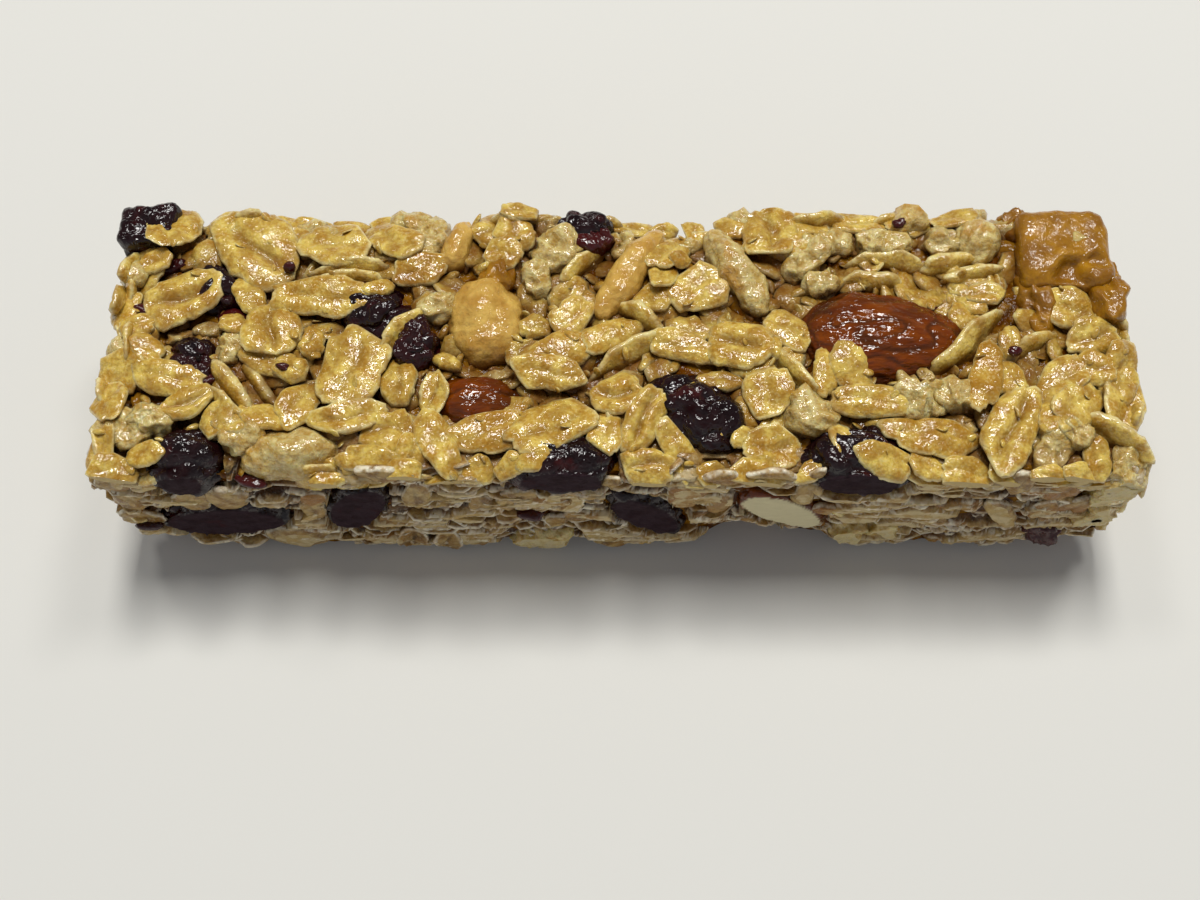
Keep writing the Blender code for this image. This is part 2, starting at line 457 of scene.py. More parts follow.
class Recipe:
    """A tree in the making, each of its values kept under a name for what it stands for."""

    def __init__(self, tree: bpy.types.NodeTree) -> None:
        """Start with no values."""
        self.tree = tree
        self.values: dict[str, Socket] = {}

    def follow(self, rows: Iterable[tuple]) -> None:
        """Add a node for each row, in order.

        Args:
            rows: what the node's value is called, the node's type, settings and output, and its inputs;
                an input that is text is the name of an earlier value.
        """
        for name, (kind, settings, output), inputs in rows:
            links = {key: self.values[value] for key, value in inputs.items() if isinstance(value, str)}
            fixed = {key: value for key, value in inputs.items() if key not in links}
            node = add_node(self.tree, kind, {**settings, **fixed}, links)
            if len(node.outputs):
                self.values[name] = node.outputs[output]


def marked(*marks: str) -> list[tuple]:
    """The rows that read marks off the mesh, each 0 where the mesh has none."""
    return [(mark, ("ShaderNodeAttribute", {"attribute_name": mark}, "Fac"), {}) for mark in marks]


def swells(size: float, detail: float = 2.0, twist: float = 0.0) -> dict:
    """The inputs of a noise whose swells are this many mm, as a value round 0.5; twist curls it."""
    return {"Vector": "drawn", "Scale": 1.0 / (size * MM), "Detail": detail, "Distortion": twist}


def eased(value: str, low: float, high: float) -> dict:
    """The inputs that ease a named value to 0..1 between two limits."""
    return {"Value": value, "From Min": low, "From Max": high}


def toward(share: str, colour: str, second: str) -> dict:
    """The inputs that draw a named colour towards a hex one by a named share of 0 to 1."""
    return {0: share, 6: colour, 7: linear(second)}


@dataclass(frozen=True)
class Finish:
    """What every finish on the bar shares: food under a thin film of set syrup.

    The film is why the bar glitters in small worms and dots: a sharp clear coat over a finely uneven
    surface. The knife's faces are dry, so `cut` colours them and takes the film away.
    """

    name: str
    base: str
    second: str
    mottle: float = 1.5
    roughness: float = 0.55
    shine: float = 0.2              # of the food itself, under the film
    film: float = 0.9
    film_roughness: float = 0.06
    grain: float = 0.7
    depth: float = 0.16
    worm: float = 0.7               # size of the film's own unevenness
    worm_depth: float = 0.125
    amber: float = 0.6              # how dark the film is where it is thick
    drawn: float = 1.0              # how much longer its patterns are along the bar
    glow: float = 0.12
    glow_tint: str = "#ffd090"
    cut: str = "#a98c5c"
    patchy: float = 0.0             # how much of its own colour shows in patches on the knife's faces
    # the colour and share that darken deep places: gathered syrup and painted shade
    pooled_syrup_and_shade: str = "#5e2e00"
    syrupy: str = "#a0701c"
    pooled_syrup_and_shade_share: float = 0.85

    def material(self) -> bpy.types.Material:
        """Build the material.

        Returns:
            The finish as a material of its own name.
        """
        made = bpy.data.materials.new(self.name)
        made.use_nodes = True
        made.node_tree.nodes.clear()
        recipe = Recipe(made.node_tree)
        recipe.follow([
            ("place", ("ShaderNodeTexCoord", {}, "Object"), {}),
            ("drawn", ("ShaderNodeVectorMath", {"operation": "MULTIPLY"}, 0), {
                0: "place", 1: (1 / self.drawn, 1.0, 1.0),
            }),
            *self.food(),
            *marked("cut", "cut_face", "deep"),
            ("dry", MOST, {0: "cut", 1: "cut_face"}),
            # syrup stains the food in patches, and deep places are darkened further: gathered syrup and
            # painted shade
            ("stain", NOISE, swells(1.7, 3.0, 0.4)),
            ("stain", EASE, eased("stain", 0.6, 0.36)),
            ("stain", TIMES, {0: "stain", 1: self.amber}),
            ("syrup_and_shade", TIMES, {0: "deep", 1: self.pooled_syrup_and_shade_share}),
            ("colour", MIX, toward("stain", "food", self.syrupy)),
            ("colour", MIX, toward("syrup_and_shade", "colour", self.pooled_syrup_and_shade)),
            # the knife's faces
            ("bare", NOISE, swells(1.1, 4.0)),
            ("bare", EASE, eased("bare", 0.58, 0.4)),
            ("bare", TIMES, {0: "bare", 1: self.patchy}),
            ("bare", LESS, {0: 1.0, 1: "bare"}),
            ("bare", TIMES, {0: "dry", 1: "bare"}),
            ("colour", MIX, toward("bare", "colour", self.cut)),
            # the film lies everywhere but in thin patches and on the knife's faces, and is thinned deep down
            # as painted shade on its gloss
            ("sunk", TIMES, {0: "deep", 1: 0.7}),
            ("sunk", MOST, {0: "dry", 1: "sunk"}),
            ("sunk", TIMES, {0: "sunk", 1: 0.92}),
            ("wet", LESS, {0: 1.0, 1: "sunk"}),
            ("film", NOISE, swells(1.9, 1.0)),
            ("film", EASE, eased("film", 0.14, 0.42)),
            ("film", TIMES, {0: "film", 1: self.film}),
            ("film", TIMES, {0: "film", 1: "wet"}),
            ("rough", TIMES, {0: "dry", 1: 0.2}),
            ("rough", PLUS, {0: "rough", 1: self.roughness}),
            ("grain", NOISE, swells(self.grain, 4.0, 0.3)),
            ("grain", BUMP, {"Height": "grain", "Strength": 1.0, "Distance": self.depth * MM}),
            ("worms", NOISE, swells(self.worm, 0.6, 1.6)),
            ("worms", BUMP, {"Height": "worms", "Strength": 1.0, "Distance": self.worm_depth * MM}),
            ("surface", ("ShaderNodeBsdfPrincipled", {}, 0), {
                "Base Color": "colour", "Roughness": "rough", "Normal": "grain", "IOR": 1.45,
                "Specular IOR Level": self.shine, "Coat Weight": "film", "Coat Normal": "worms",
                "Coat IOR": 1.53, "Coat Roughness": self.film_roughness, "Subsurface Weight": self.glow,
                "Subsurface Scale": 0.9 * MM, "Subsurface Radius": linear(self.glow_tint)[:3],
            }),
            ("", ("ShaderNodeOutputMaterial", {}, 0), {"Surface": "surface"}),
        ])
        return made

    def food(self) -> list[tuple]:
        """The food's own colour: two colours in soft patches.

        Returns:
            The recipe's rows that make `food`.
        """
        return [
            ("patch", NOISE, swells(self.mottle, 4.0)),
            ("patch", EASE, eased("patch", 0.32, 0.68)),
            ("food", MIX, {0: "patch", 6: linear(self.base), 7: linear(self.second)}),
        ]


@dataclass(frozen=True)
class RolledOat(Finish):
    """Rolled oats, steamed, pressed and baked: a pale mealy flake, orange where it is toasted.

    The crease is darker, with gathered syrup and painted shade, and the broken rim shows pale meal.
    """

    toasted: str = "#b07c10"
    # the crease darkens towards this colour: syrup gathered in it, and painted shade
    creased: str = "#785008"
    crease_syrup_and_shade: float = 0.6             # how dark the crease is
    meal: str = "#ecdc9c"
    speckled: float = 0.35          # how much fine mealy specks show
    specks: str = "#9a6a0c"

    def food(self) -> list[tuple]:
        """Toasting by flake and by patch, gathered syrup and painted shade in the crease, specks, and meal on
        the rim.

        Returns:
            The recipe's rows that make `food`.
        """
        return [
            *super().food(),
            *marked("toast", "shade", "crease", "rim"),
            ("patch", NOISE, swells(2.4)),
            ("patch", LESS, {0: "patch", 1: 0.5}),
            ("patch", TIMES, {0: "patch", 1: 1.4}),
            ("toast", PLUS, {0: "toast", 1: "shade"}),
            ("toast", PLUS, {0: "toast", 1: "patch"}),
            ("toast", EASE, eased("toast", 0.3, 1.2)),
            ("food", MIX, toward("toast", "food", self.toasted)),
            # painted shade and gathered syrup darken the crease
            ("crease", EASE, eased("crease", 0.25, 1.0)),
            ("crease", TIMES, {0: "crease", 1: self.crease_syrup_and_shade}),
            ("food", MIX, toward("crease", "food", self.creased)),
            ("speck", NOISE, swells(0.3, 2.0)),
            ("pale", EASE, eased("speck", 0.5, 0.68)),
            ("pale", TIMES, {0: "pale", 1: self.speckled}),
            ("food", MIX, toward("pale", "food", self.meal)),
            ("dark", EASE, eased("speck", 0.5, 0.32)),
            ("dark", TIMES, {0: "dark", 1: self.speckled}),
            ("food", MIX, toward("dark", "food", self.specks)),
            ("worn", NOISE, swells(0.7)),
            ("worn", EASE, eased("worn", 0.25, 0.6)),
            ("rim", EASE, eased("rim", 0.86, 1.0)),
            ("rim", TIMES, {0: "rim", 1: "worn"}),
            ("food", MIX, toward("rim", "food", self.meal)),
        ]


@dataclass(frozen=True)
class DriedFruit(Finish):
    """Sultanas and dried cherries: black wrinkled skin that is dark red where it thins.

    The knife's faces are dull purple-grey flesh.
    """

    thin: str = "#4a1210"

    def food(self) -> list[tuple]:
        """Black skin, red in thin patches.

        Returns:
            The recipe's rows that make `food`.
        """
        return [
            *super().food(),
            *marked("toast"),
            ("thin", NOISE, swells(2.6)),
            ("thin", EASE, eased("thin", 0.55, 0.72)),
            ("thin", TIMES, {0: "thin", 1: 0.6}),
            ("thin", MOST, {0: "thin", 1: "toast"}),
            ("food", MIX, toward("thin", "food", self.thin)),
        ]


@dataclass(frozen=True)
class AlmondSkin(Finish):
    """Roasted almond skin: red-brown and papery, with painted shade along its grooves."""

    # painted shade in the grooves
    groove: str = "#42200a"

    def food(self) -> list[tuple]:
        """Brown skin, with painted shade nearly black in the grooves.

        Returns:
            The recipe's rows that make `food`.
        """
        return [
            *super().food(),
            *marked("crease"),
            # painted shade darkens the grooves
            ("crease", EASE, eased("crease", 0.3, 1.0)),
            ("crease", TIMES, {0: "crease", 1: 0.75}),
            ("food", MIX, toward("crease", "food", self.groove)),
        ]


@dataclass(frozen=True)
class Finishes:
    """Every finish that the bar uses."""

    oat: Finish = RolledOat(
        "syruped_rolled_oat", "#e3c65e", "#ba8c28", mottle=1.5, film=1.0, grain=0.5, depth=0.2, amber=0.55,
        cut="#c4ad78", syrupy="#946404",
    )
    # the knife-cut front's crease colour goes nearly black in its recesses as painted shade
    strata: Finish = RolledOat(
        "knife_cut_rolled_oat", "#bca062", "#765422", mottle=1.1, film=0.5, film_roughness=0.12, grain=0.6,
        depth=0.3, amber=0.4, cut="#c8b488", patchy=0.8, toasted="#8e5a14", creased="#160a02", crease_syrup_and_shade=0.95,
        meal="#efe6cc", speckled=0.12,
    )
    rice: Finish = RolledOat(
        "syruped_puffed_rice", "#dccb88", "#bd9a48", mottle=0.8, film=1.0, film_roughness=0.08, grain=0.7,
        depth=0.45, worm=0.6, worm_depth=0.12, amber=0.3, glow=0.4, glow_tint="#ffd890", cut="#c8b88c",
        patchy=0.4, toasted="#c08a2c", meal="#e8dcb8", speckled=0.25,
    )
    fruit: Finish = DriedFruit(
        "dried_fruit_skin", "#120305", "#220a0c", roughness=0.5, shine=0.02, film=0.85, grain=0.7, depth=0.2,
        worm=0.8, worm_depth=0.17, amber=0.0, glow=0.0, cut="#33252a", pooled_syrup_and_shade_share=0.0, patchy=0.4,
    )
    almond: Finish = AlmondSkin(
        "roasted_almond_skin", "#6c2c00", "#803c00", mottle=0.9, roughness=0.5, shine=0.02, film=0.85,
        grain=0.5, depth=0.3, worm=0.8, worm_depth=0.18, amber=0.5, drawn=3.0, glow=0.0, cut="#d4c9a2",
        pooled_syrup_and_shade="#341602", syrupy="#401a00",
    )
    nut: Finish = Finish(
        "roasted_nut_meat", "#deb65a", "#be8e38", mottle=2.0, film=0.9, grain=0.6, depth=0.22, amber=0.3,
        cut="#c9b588",
    )
    caramel: Finish = Finish(
        "caramelised_nut", "#b27e12", "#895a04", mottle=2.6, roughness=0.4, film=0.75, grain=0.8, depth=0.2,
        worm=0.8, worm_depth=0.16, glow=0.15, syrupy="#865606",
    )
    # the core's dark brown is the binder's own colour and painted shade of the crevices it shows in
    core: Finish = Finish(
        "syrup_bound_meal", "#5c3000", "#381a00", mottle=1.6, roughness=0.6, shine=0.0, film=0.5, grain=0.6,
        depth=0.3, glow=0.0, pooled_syrup_and_shade_share=0.0,
    )
    # the pools' dark brown is set syrup and painted shade of the deep crevices
    syrup: Finish = Finish(
        "set_syrup", "#5c3002", "#3a1a00", mottle=2.2, roughness=0.5, shine=0.0, film=0.9, grain=0.8,
        depth=0.24, worm=0.9, worm_depth=0.2, glow=0.0, pooled_syrup_and_shade_share=0.0,
    )


# ---------------------------------------------------------------- single flakes, grains and crumbs


@dataclass(frozen=True)
class Traits:
    """How one sort of flake is shaped: depths in mm, angles in degrees."""

    crease: float           # depth of the groove along it
    cup: float              # how far its long sides bend up; below 0 they bend down
    wave: float             # height of its slow unevenness
    chips: int              # broken corners
    thick: float = 1.25     # thickness in the middle


class Form(Enum):
    """The sorts of flake in the bar."""

    OPEN = Traits(crease=0.25, cup=2, wave=0.09, chips=4, thick=1.15)
    CREASED = Traits(crease=0.8, cup=-8, wave=0.08, chips=1, thick=1.5)
    CURLED = Traits(crease=0.35, cup=48, wave=0.18, chips=1, thick=1.1)
    SMOOTH = Traits(crease=0.0, cup=-12, wave=0.08, chips=0, thick=1.35)
    LUMPY = Traits(crease=0.35, cup=-2, wave=0.24, chips=4, thick=1.45)
    BROKEN = Traits(crease=0.15, cup=0, wave=0.18, chips=6, thick=1.1)
    EDGE = Traits(crease=0.20, cup=-10, wave=0.16, chips=2, thick=1.4)
    THIN = Traits(crease=0.0, cup=-6, wave=0.3, chips=4, thick=0.5)
    CRUMB = Traits(crease=0.1, cup=12, wave=0.3, chips=5, thick=0.8)


@dataclass(frozen=True)
class FlakeGrid:
    """How finely a flake is divided: round its rim, and from its middle out over the top and below."""

    segments: int
    top: tuple[float, ...]
    below: tuple[float, ...]


FINE = FlakeGrid(44, (0.13, 0.26, 0.39, 0.51, 0.63, 0.74, 0.84, 0.92, 0.975), (0.95, 0.62))
MEDIUM = FlakeGrid(20, (0.35, 0.68, 0.92), (0.8,))
COARSE = FlakeGrid(13, (0.45, 0.88), (0.7,))


def ring_faces(rings: int, segments: int) -> list[tuple[int, ...]]:
    """The faces of a closed body made of rings between a first and a last point.

    Args:
        rings: how many rings there are.
        segments: how many points each ring has, counter-clockwise from above.

    Returns:
        The faces, facing out where the first point is on top.
    """
    faces: list[tuple[int, ...]] = []
    last = rings * segments + 1
    for j in range(segments):
        after = (j + 1) % segments
        faces.append((0, 1 + j, 1 + after))
        for ring in range(rings - 1):
            upper = 1 + ring * segments
            lower = upper + segments
            faces.append((upper + j, lower + j, lower + after, upper + after))
        base = 1 + (rings - 1) * segments
        faces.append((last, base + after, base + j))
    return faces


def bend(points: Array, axis: int, size: float, degrees: float) -> Array:
    """Bend a flat body so that its two sides along an axis turn up by an angle.

    Args:
        points: the body's points, lying about the XY plane.
        axis: 0 or 1, the axis that is rolled up.
        size: the body's size along that axis.
        degrees: how far each side turns up; below 0 it turns down.

    Returns:
        The bent points.
    """
    if abs(degrees) < 1:
        return points
    radius = size / 2 / math.radians(degrees)
    bent = points.copy()
    reach = radius - points[:, 2]
    bent[:, axis] = reach * np.sin(points[:, axis] / radius)
    bent[:, 2] = radius - reach * np.cos(points[:, axis] / radius)
    return bent


def ragged_outline(angles: Array, chips: int, rng: Rng) -> Array:
    """Draw a rim that is lobed, chipped and split once.

    Args:
        angles: directions from the middle.
        chips: how many corners are broken off.
        rng: the seeded source of its unevenness.

    Returns:
        The rim's distance from the middle, as a share of the plain oval's.
    """
    rim = (np.abs(np.cos(angles)) ** 2.3 + np.abs(np.sin(angles)) ** 2.3) ** (-1 / 2.3)
    for waves, depth in ((2, 0.05), (3, 0.06), (5, 0.04), (8, 0.03), (13, 0.024), (19, 0.02)):
        rim += depth * rng.uniform(0.4, 1.2) * np.sin(waves * angles + rng.uniform(0, 2 * math.pi))
    for _ in range(chips):
        facing = np.cos(angles - rng.uniform(0, 2 * math.pi))
        chord = rng.uniform(0.76, 0.94) / np.maximum(facing, 1e-3)
        rim = np.where(facing > 0, np.minimum(rim, chord), rim)
    split = np.abs((angles - rng.uniform(0, 2 * math.pi) + math.pi) % (2 * math.pi) - math.pi)
    return rim * (1 - 0.12 * np.exp(-((split / 0.14) ** 2)))


def make_flake(
    long: float, wide: float, form: Form, toast: float, rng: Rng, grid: FlakeGrid = FINE
) -> Solid:
    """One oat flake about the origin, lying flat with its long axis on X.

    Args:
        long: its length in mm.
        wide: its width in mm.
        form: which sort of flake it is.
        toast: how toasted, below 0 pale to 1 orange brown.
        rng: the seeded source of its unevenness.
        grid: how finely it is divided.

    Returns:
        The flake as a closed body.
    """
    traits = form.value
    angles = np.arange(grid.segments) * 2 * math.pi / grid.segments
    outline = ragged_outline(angles, traits.chips, rng)
    shares = [*grid.top, 1.0, *grid.below]
    sides = [1.0] * len(grid.top) + [0.0] + [-1.0] * len(grid.below)
    share = np.concatenate([[0.0], np.repeat(shares, grid.segments), [0.0]])
    side = np.concatenate([[1.0], np.repeat(sides, grid.segments), [-1.0]])
    reach = share * np.concatenate([[1.0], np.tile(outline, len(shares)), [1.0]])
    angle = np.concatenate([[0.0], np.tile(angles, len(shares)), [0.0]])
    flat = np.stack([reach * np.cos(angle) * long / 2, reach * np.sin(angle) * wide / 2, 0 * angle], axis=1)

    wander = 0.08 * wide * np.sin(flat[:, 0] * 2 * math.pi / long + rng.uniform(0, 6))
    fade = np.clip(1.15 - (2 * flat[:, 0] / long) ** 2, 0, 1)
    groove = np.exp(-(((flat[:, 1] - wander) / (0.085 * wide + 0.08)) ** 2)) * fade
    half = traits.thick / 2 * rng.uniform(0.85, 1.15)
    half = half * (1 - 0.4 * share ** 2) * np.sqrt(1 - 0.999 * share ** 9)
    quick = (Ripples(rng, 2.4).at(flat) * 0.08 + Ripples(rng, 1.0).at(flat) * 0.02) * (1 - 0.6 * share ** 6)
    quick *= min(1.0, traits.thick)
    slow = Ripples(rng, 3.6).at(flat) * traits.wave
    crease = traits.crease * min(1.0, wide / 5.5)
    z = side * (half + quick) + slow - crease * groove * (side >= 0) * (1 - share ** 6)
    points = np.stack([flat[:, 0], flat[:, 1], z], axis=1)
    points = bend(points, 1, wide, traits.cup * rng.uniform(0.7, 1.2))
    points = bend(points, 0, long, rng.uniform(-10, 8))
    marks = {
        "toast": np.full(len(points), toast),
        "rim": share,
        "crease": groove * min(1.0, traits.crease / 0.45) * (side >= 0),
    }
    return Solid(points, ring_faces(len(shares), grid.segments), marks)


def make_grain(
    long: float, wide: float, toast: float, rng: Rng, rings: int = 26, segments: int = 34
) -> Solid:
    """One puffed grain about the origin: a tapered body swollen into blisters, its long axis on X.

    Args:
        long: its length in mm.
        wide: its width in mm.
        toast: how toasted, 0 to 1.
        rng: the seeded source of its blisters.
        rings: how many rings it is divided into.
        segments: points on each ring.

    Returns:
        The grain as a closed body.
    """
    down = np.concatenate([[0.0], np.repeat(np.linspace(0, math.pi, rings + 2)[1:-1], segments), [math.pi]])
    around = np.concatenate([[0.0], np.tile(np.arange(segments) * 2 * math.pi / segments, rings), [0.0]])
    unit = np.stack([np.sin(down) * np.cos(around), np.sin(down) * np.sin(around), np.cos(down)], axis=1)
    size = np.array([long / 2, wide / 2, wide / 2 * rng.uniform(0.78, 0.95)])
    body = unit * size
    body[:, 2] = np.sign(body[:, 2]) * size[2] * np.tanh(1.6 * np.abs(body[:, 2]) / size[2]) / math.tanh(1.6)
    blister = cell_distance(body + rng.uniform(0, 90, 3), 1.3, int(rng.integers(9999)))
    grit = cell_distance(body + rng.uniform(0, 90, 3), 0.6, int(rng.integers(9999)))
    ragged = np.abs(Ripples(rng, 1.7, 5).at(body))
    swell = 0.35 * (0.55 - blister) + 0.2 * (0.5 - grit) + 0.4 * (0.6 - ragged)
    swell = swell + 0.34 * Ripples(rng, 3.0).at(body)
    points = body + unit * (swell * min(1.0, wide / 3.0))[:, None]
    if rings < 6:
        points *= rng.uniform(0.7, 1.25, size=(len(points), 1))
    marks = {"toast": np.full(len(points), toast), "rim": np.clip(0.55 + 0.5 * (0.5 - blister), 0, 1)}
    return Solid(points, ring_faces(rings, segments), marks)


# ---------------------------------------------------------------- the pieces set into the slab


@dataclass
class Inset:
    """A piece set into the slab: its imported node, skinned finely and given its own surface."""

    node: str
    voxel: float = 0.27
    seed: int = 1
    slot: str = "nut"
    squared: float = 0.0        # 0 leaves it round, 1 makes it a worn block

    def build(self) -> Mesh:
        """Make the piece.

        Returns:
            Its mesh, with its relief and its marks.
        """
        data = skin_of([self.node], self.voxel, rounding=2)
        points, normals = surface_of(data)
        cut = (points[:, 1] < CUT_PLANE + 0.14) & (normals[:, 1] < -0.75)
        rng = np.random.default_rng(self.seed)
        points = self.blocked(points)
        height, marks = self.relief(self.own_axes(points), points, rng)
        dry = 0.04 * Ripples(rng, 1.2).at(points)
        move_points(data, points + normals * np.where(cut, dry, height)[:, None])
        for mark, values in {**marks, "cut": cut.astype(float)}.items():
            put_mark(data, mark, values)
        return data

    def blocked(self, points: Array) -> Array:
        """Push points out towards the corners of their box.

        Args:
            points: the piece's points in mm.

        Returns:
            The points, pushed by as much as the piece is squared.
        """
        middle = (points.max(axis=0) + points.min(axis=0)) / 2
        half = (points.max(axis=0) - points.min(axis=0)) / 2
        unit = (points - middle) / half
        flat = (np.abs(unit) ** 5).sum(axis=1) ** 0.2
        stretch = (np.linalg.norm(unit, axis=1) / np.maximum(flat, 1e-6)) ** self.squared
        return middle + (points - middle) * stretch[:, None]

    @staticmethod
    def own_axes(points: Array) -> Array:
        """Measure points along the piece's own directions.

        Args:
            points: the piece's points in mm.

        Returns:
            The points from its middle, with its longest direction first and its thinnest last.
        """
        centred = points - points.mean(axis=0)
        _, axes = np.linalg.eigh(centred.T @ centred)
        return centred @ axes[:, ::-1]

    def relief(self, own: Array, points: Array, rng: Rng) -> tuple[Array, Marks]:
        """Work out the piece's surface.

        Args:
            own: its points along its own directions.
            points: the same points in the bar's frame.
            rng: the seeded source of its unevenness.

        Returns:
            How far each point stands out in mm, and the marks for the material.
        """
        facets = 0.7 * (0.5 - cell_distance(points, 3.8, self.seed))
        return facets + 0.16 * Ripples(rng, 3.4).at(own) + 0.05 * Ripples(rng, 1.2).at(own), {}


@dataclass
class Fruit(Inset):
    """A dried berry or raisin: deep folds with rounded backs, and finer wrinkles between them."""

    slot: str = "dried_fruit"
    voxel: float = 0.24
    fold: float = 0.62
    fold_size: float = 3.6

    def relief(self, own: Array, points: Array, rng: Rng) -> tuple[Array, Marks]:
        """Folds are sharp at the bottom and round on top.

        Args:
            own: the points along the piece's own directions.
            points: the same points in the bar's frame; not used.
            rng: the seeded source of the unevenness.

        Returns:
            How far each point stands out in mm, and the marks for the material.
        """
        bent = own + 0.7 * np.stack([Ripples(rng, 4.5).at(own) for _ in range(3)], axis=1)
        folds = np.sqrt(np.abs(Ripples(rng, self.fold_size, 4).at(bent)))
        middle = np.sqrt(np.abs(Ripples(rng, 1.9, 4).at(bent * (0.6, 1, 1))))
        fine = np.sqrt(np.abs(Ripples(rng, 1.0, 4).at(bent)))
        return self.fold * (folds - 0.8) + 0.26 * (middle - 0.7) + 0.1 * (fine - 0.7), {}


@dataclass
class Almond(Inset):
    """A roasted almond: long shallow grooves from end to end, which fork and fade."""

    slot: str = "almond"
    groove: float = 0.13

    def relief(self, own: Array, points: Array, rng: Rng) -> tuple[Array, Marks]:
        """Grooves run along the almond.

        Args:
            own: the points along the piece's own directions.
            points: the same points in the bar's frame; not used.
            rng: the seeded source of the unevenness.

        Returns:
            How far each point stands out in mm, and the marks for the material.
        """
        drawn = own * (0.1, 1.0, 1.0) + 0.3 * Ripples(rng, 5.0).at(own)[:, None]
        broad = 1 - smooth_step(np.abs(Ripples(rng, 2.6, 5).at(drawn)), 0.0, 0.45)
        narrow = 1 - smooth_step(np.abs(Ripples(rng, 1.3, 5).at(drawn)), 0.0, 0.6)
        groove = np.maximum(broad, 0.6 * narrow)
        height = -self.groove * (broad + 0.8 * narrow) + 0.05 * Ripples(rng, 1.0).at(own)
        return height + 0.14 * Ripples(rng, 4.5).at(own), {"crease": groove}


@dataclass
class Caramel(Inset):
    """A glossy broken chunk of caramelised nut, with ragged dark hollows in its top."""

    hollows: tuple[tuple[float, float, float, float], ...] = (
        # middle, radius and depth
        (44.6, 6.8, 1.3, 1.4), (47.0, 8.0, 0.8, 0.9),
    )

    def relief(self, own: Array, points: Array, rng: Rng) -> tuple[Array, Marks]:
        """Broad facets stand round the hollows.

        Args:
            own: the points along the piece's own directions.
            points: the same points in the bar's frame.
            rng: the seeded source of the unevenness.

        Returns:
            How far each point stands out in mm, and the marks for the material.
        """
        height = 0.7 * (0.5 - cell_distance(points, 4.2, self.seed)) + 0.09 * Ripples(rng, 1.6).at(own)
        ragged = 0.35 * Ripples(rng, 1.8).at(points)
        for x, y, radius, depth in self.hollows:
            away = (np.hypot((points[:, 0] - x) * 0.7, points[:, 1] - y) + ragged) / radius
            height -= depth * np.exp(-np.maximum(away, 0.0) ** 4) * (points[:, 2] > 17.5)
        return height, {}


@dataclass
class Kernel(Inset):
    """A large puffed kernel: a blistered, finely bubbled surface."""

    slot: str = "puffed_rice"

    def relief(self, own: Array, points: Array, rng: Rng) -> tuple[Array, Marks]:
        """Blisters are a millimetre or two wide.

        Args:
            own: the points along the piece's own directions.
            points: the same points in the bar's frame; not used.
            rng: the seeded source of the unevenness.

        Returns:
            How far each point stands out in mm, and the marks for the material.
        """
        blister = cell_distance(own + 50.0, 1.5, self.seed)
        bubble = cell_distance(own + 50.0, 0.7, self.seed + 1)
        height = 0.2 * (0.5 - blister) + 0.12 * (0.5 - bubble) + 0.24 * Ripples(rng, 3.5).at(own)
        height += 0.16 * (0.6 - np.abs(Ripples(rng, 2.0, 5).at(own)))
        gold = smooth_step(Ripples(rng, 5.0).at(own), 0.5, 1.3)
        return height, {"rim": np.clip(1.0 - blister, 0, 1), "toast": 0.8 * gold - 0.1}


def insets() -> list[tuple[Inset, str]]:
    """List every piece that is set into the slab.

    Returns:
        The pieces, each with the name of its finish.
    """
    fruits = (
        "fruit_corner", "fruit_under_flake", "fruit_small_left", "fruit_front_left", "fruit_middle",
        "fruit_beside_nut", "fruit_back", "raisin_large", "raisin_front", "fruit_cut_top", "fruit_cut_left",
        "fruit_cut_deep", "fruit_cut_middle",
    )
    blocks = {"fruit_corner": 1.25, "fruit_back": 0.4, "fruit_middle": 0.3}
    folds = {"fruit_corner": 0.3}
    rows: list[tuple[Inset, str]] = [
        (Fruit(name, seed=40 + i, squared=blocks.get(name, 0.0), fold=folds.get(name, 0.62)), "fruit")
        for i, name in enumerate(fruits)
    ]
    others = (
        (Almond, 60, "almond", ("almond_top", "almond_tucked", "almond_cut")),
        (Inset, 70, "nut", ("nut_round", "nut_long", "nut_slice")),
        (Kernel, 80, "rice", ("kernel_front", "crisp_long", "crisp_block")),
    )
    for kind, seed, finish, names in others:
        rows += [(kind(name, seed=seed + i), finish) for i, name in enumerate(names)]
    rows.insert(-3, (Caramel("nut_amber", seed=75, squared=1.15), "caramel"))
    return rows


# ---------------------------------------------------------------- the core


class Skins:
    """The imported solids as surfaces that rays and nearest-point tests can reach."""

    def __init__(self) -> None:
        """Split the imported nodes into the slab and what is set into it."""
        self.slab = tree_over([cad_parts["oat_slab"].data])
        self.insets = tree_over(
            [node.data for name, node in sorted(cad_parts.items()) if name != "oat_slab"]
        )

    def outside(self, start: Vector, way: Vector) -> tuple[Optional[Vector], bool]:
        """What a ray from outside meets.

        Args:
            start: where the ray starts, in mm.
            way: its direction.

        Returns:
            The place that it meets, and whether that is on a piece set into the slab.
        """
        slab, _, _, far = self.slab.ray_cast(start, way)
        inset, _, _, near = self.insets.ray_cast(start, way)
        if inset is not None and (slab is None or near < far + 0.2):
            return inset, True
        return slab, False


def tree_over(meshes: Sequence[Mesh]) -> BVHTree:
    """Make one search tree over the triangles of several meshes.

    Args:
        meshes: the meshes, in metres.

    Returns:
        The tree, in mm.
    """
    points: list[Sequence[float]] = []
    faces: list[Sequence[int]] = []
    for data in meshes:
        data.calc_loop_triangles()
        start = len(points)
        points.extend(surface_of(data)[0].tolist())
        corners = np.empty(len(data.loop_triangles) * 3, np.int32)
        data.loop_triangles.foreach_get("vertices", corners)
        faces.extend((corners.reshape(-1, 3) + start).tolist())
    return BVHTree.FromPolygons(points, faces)


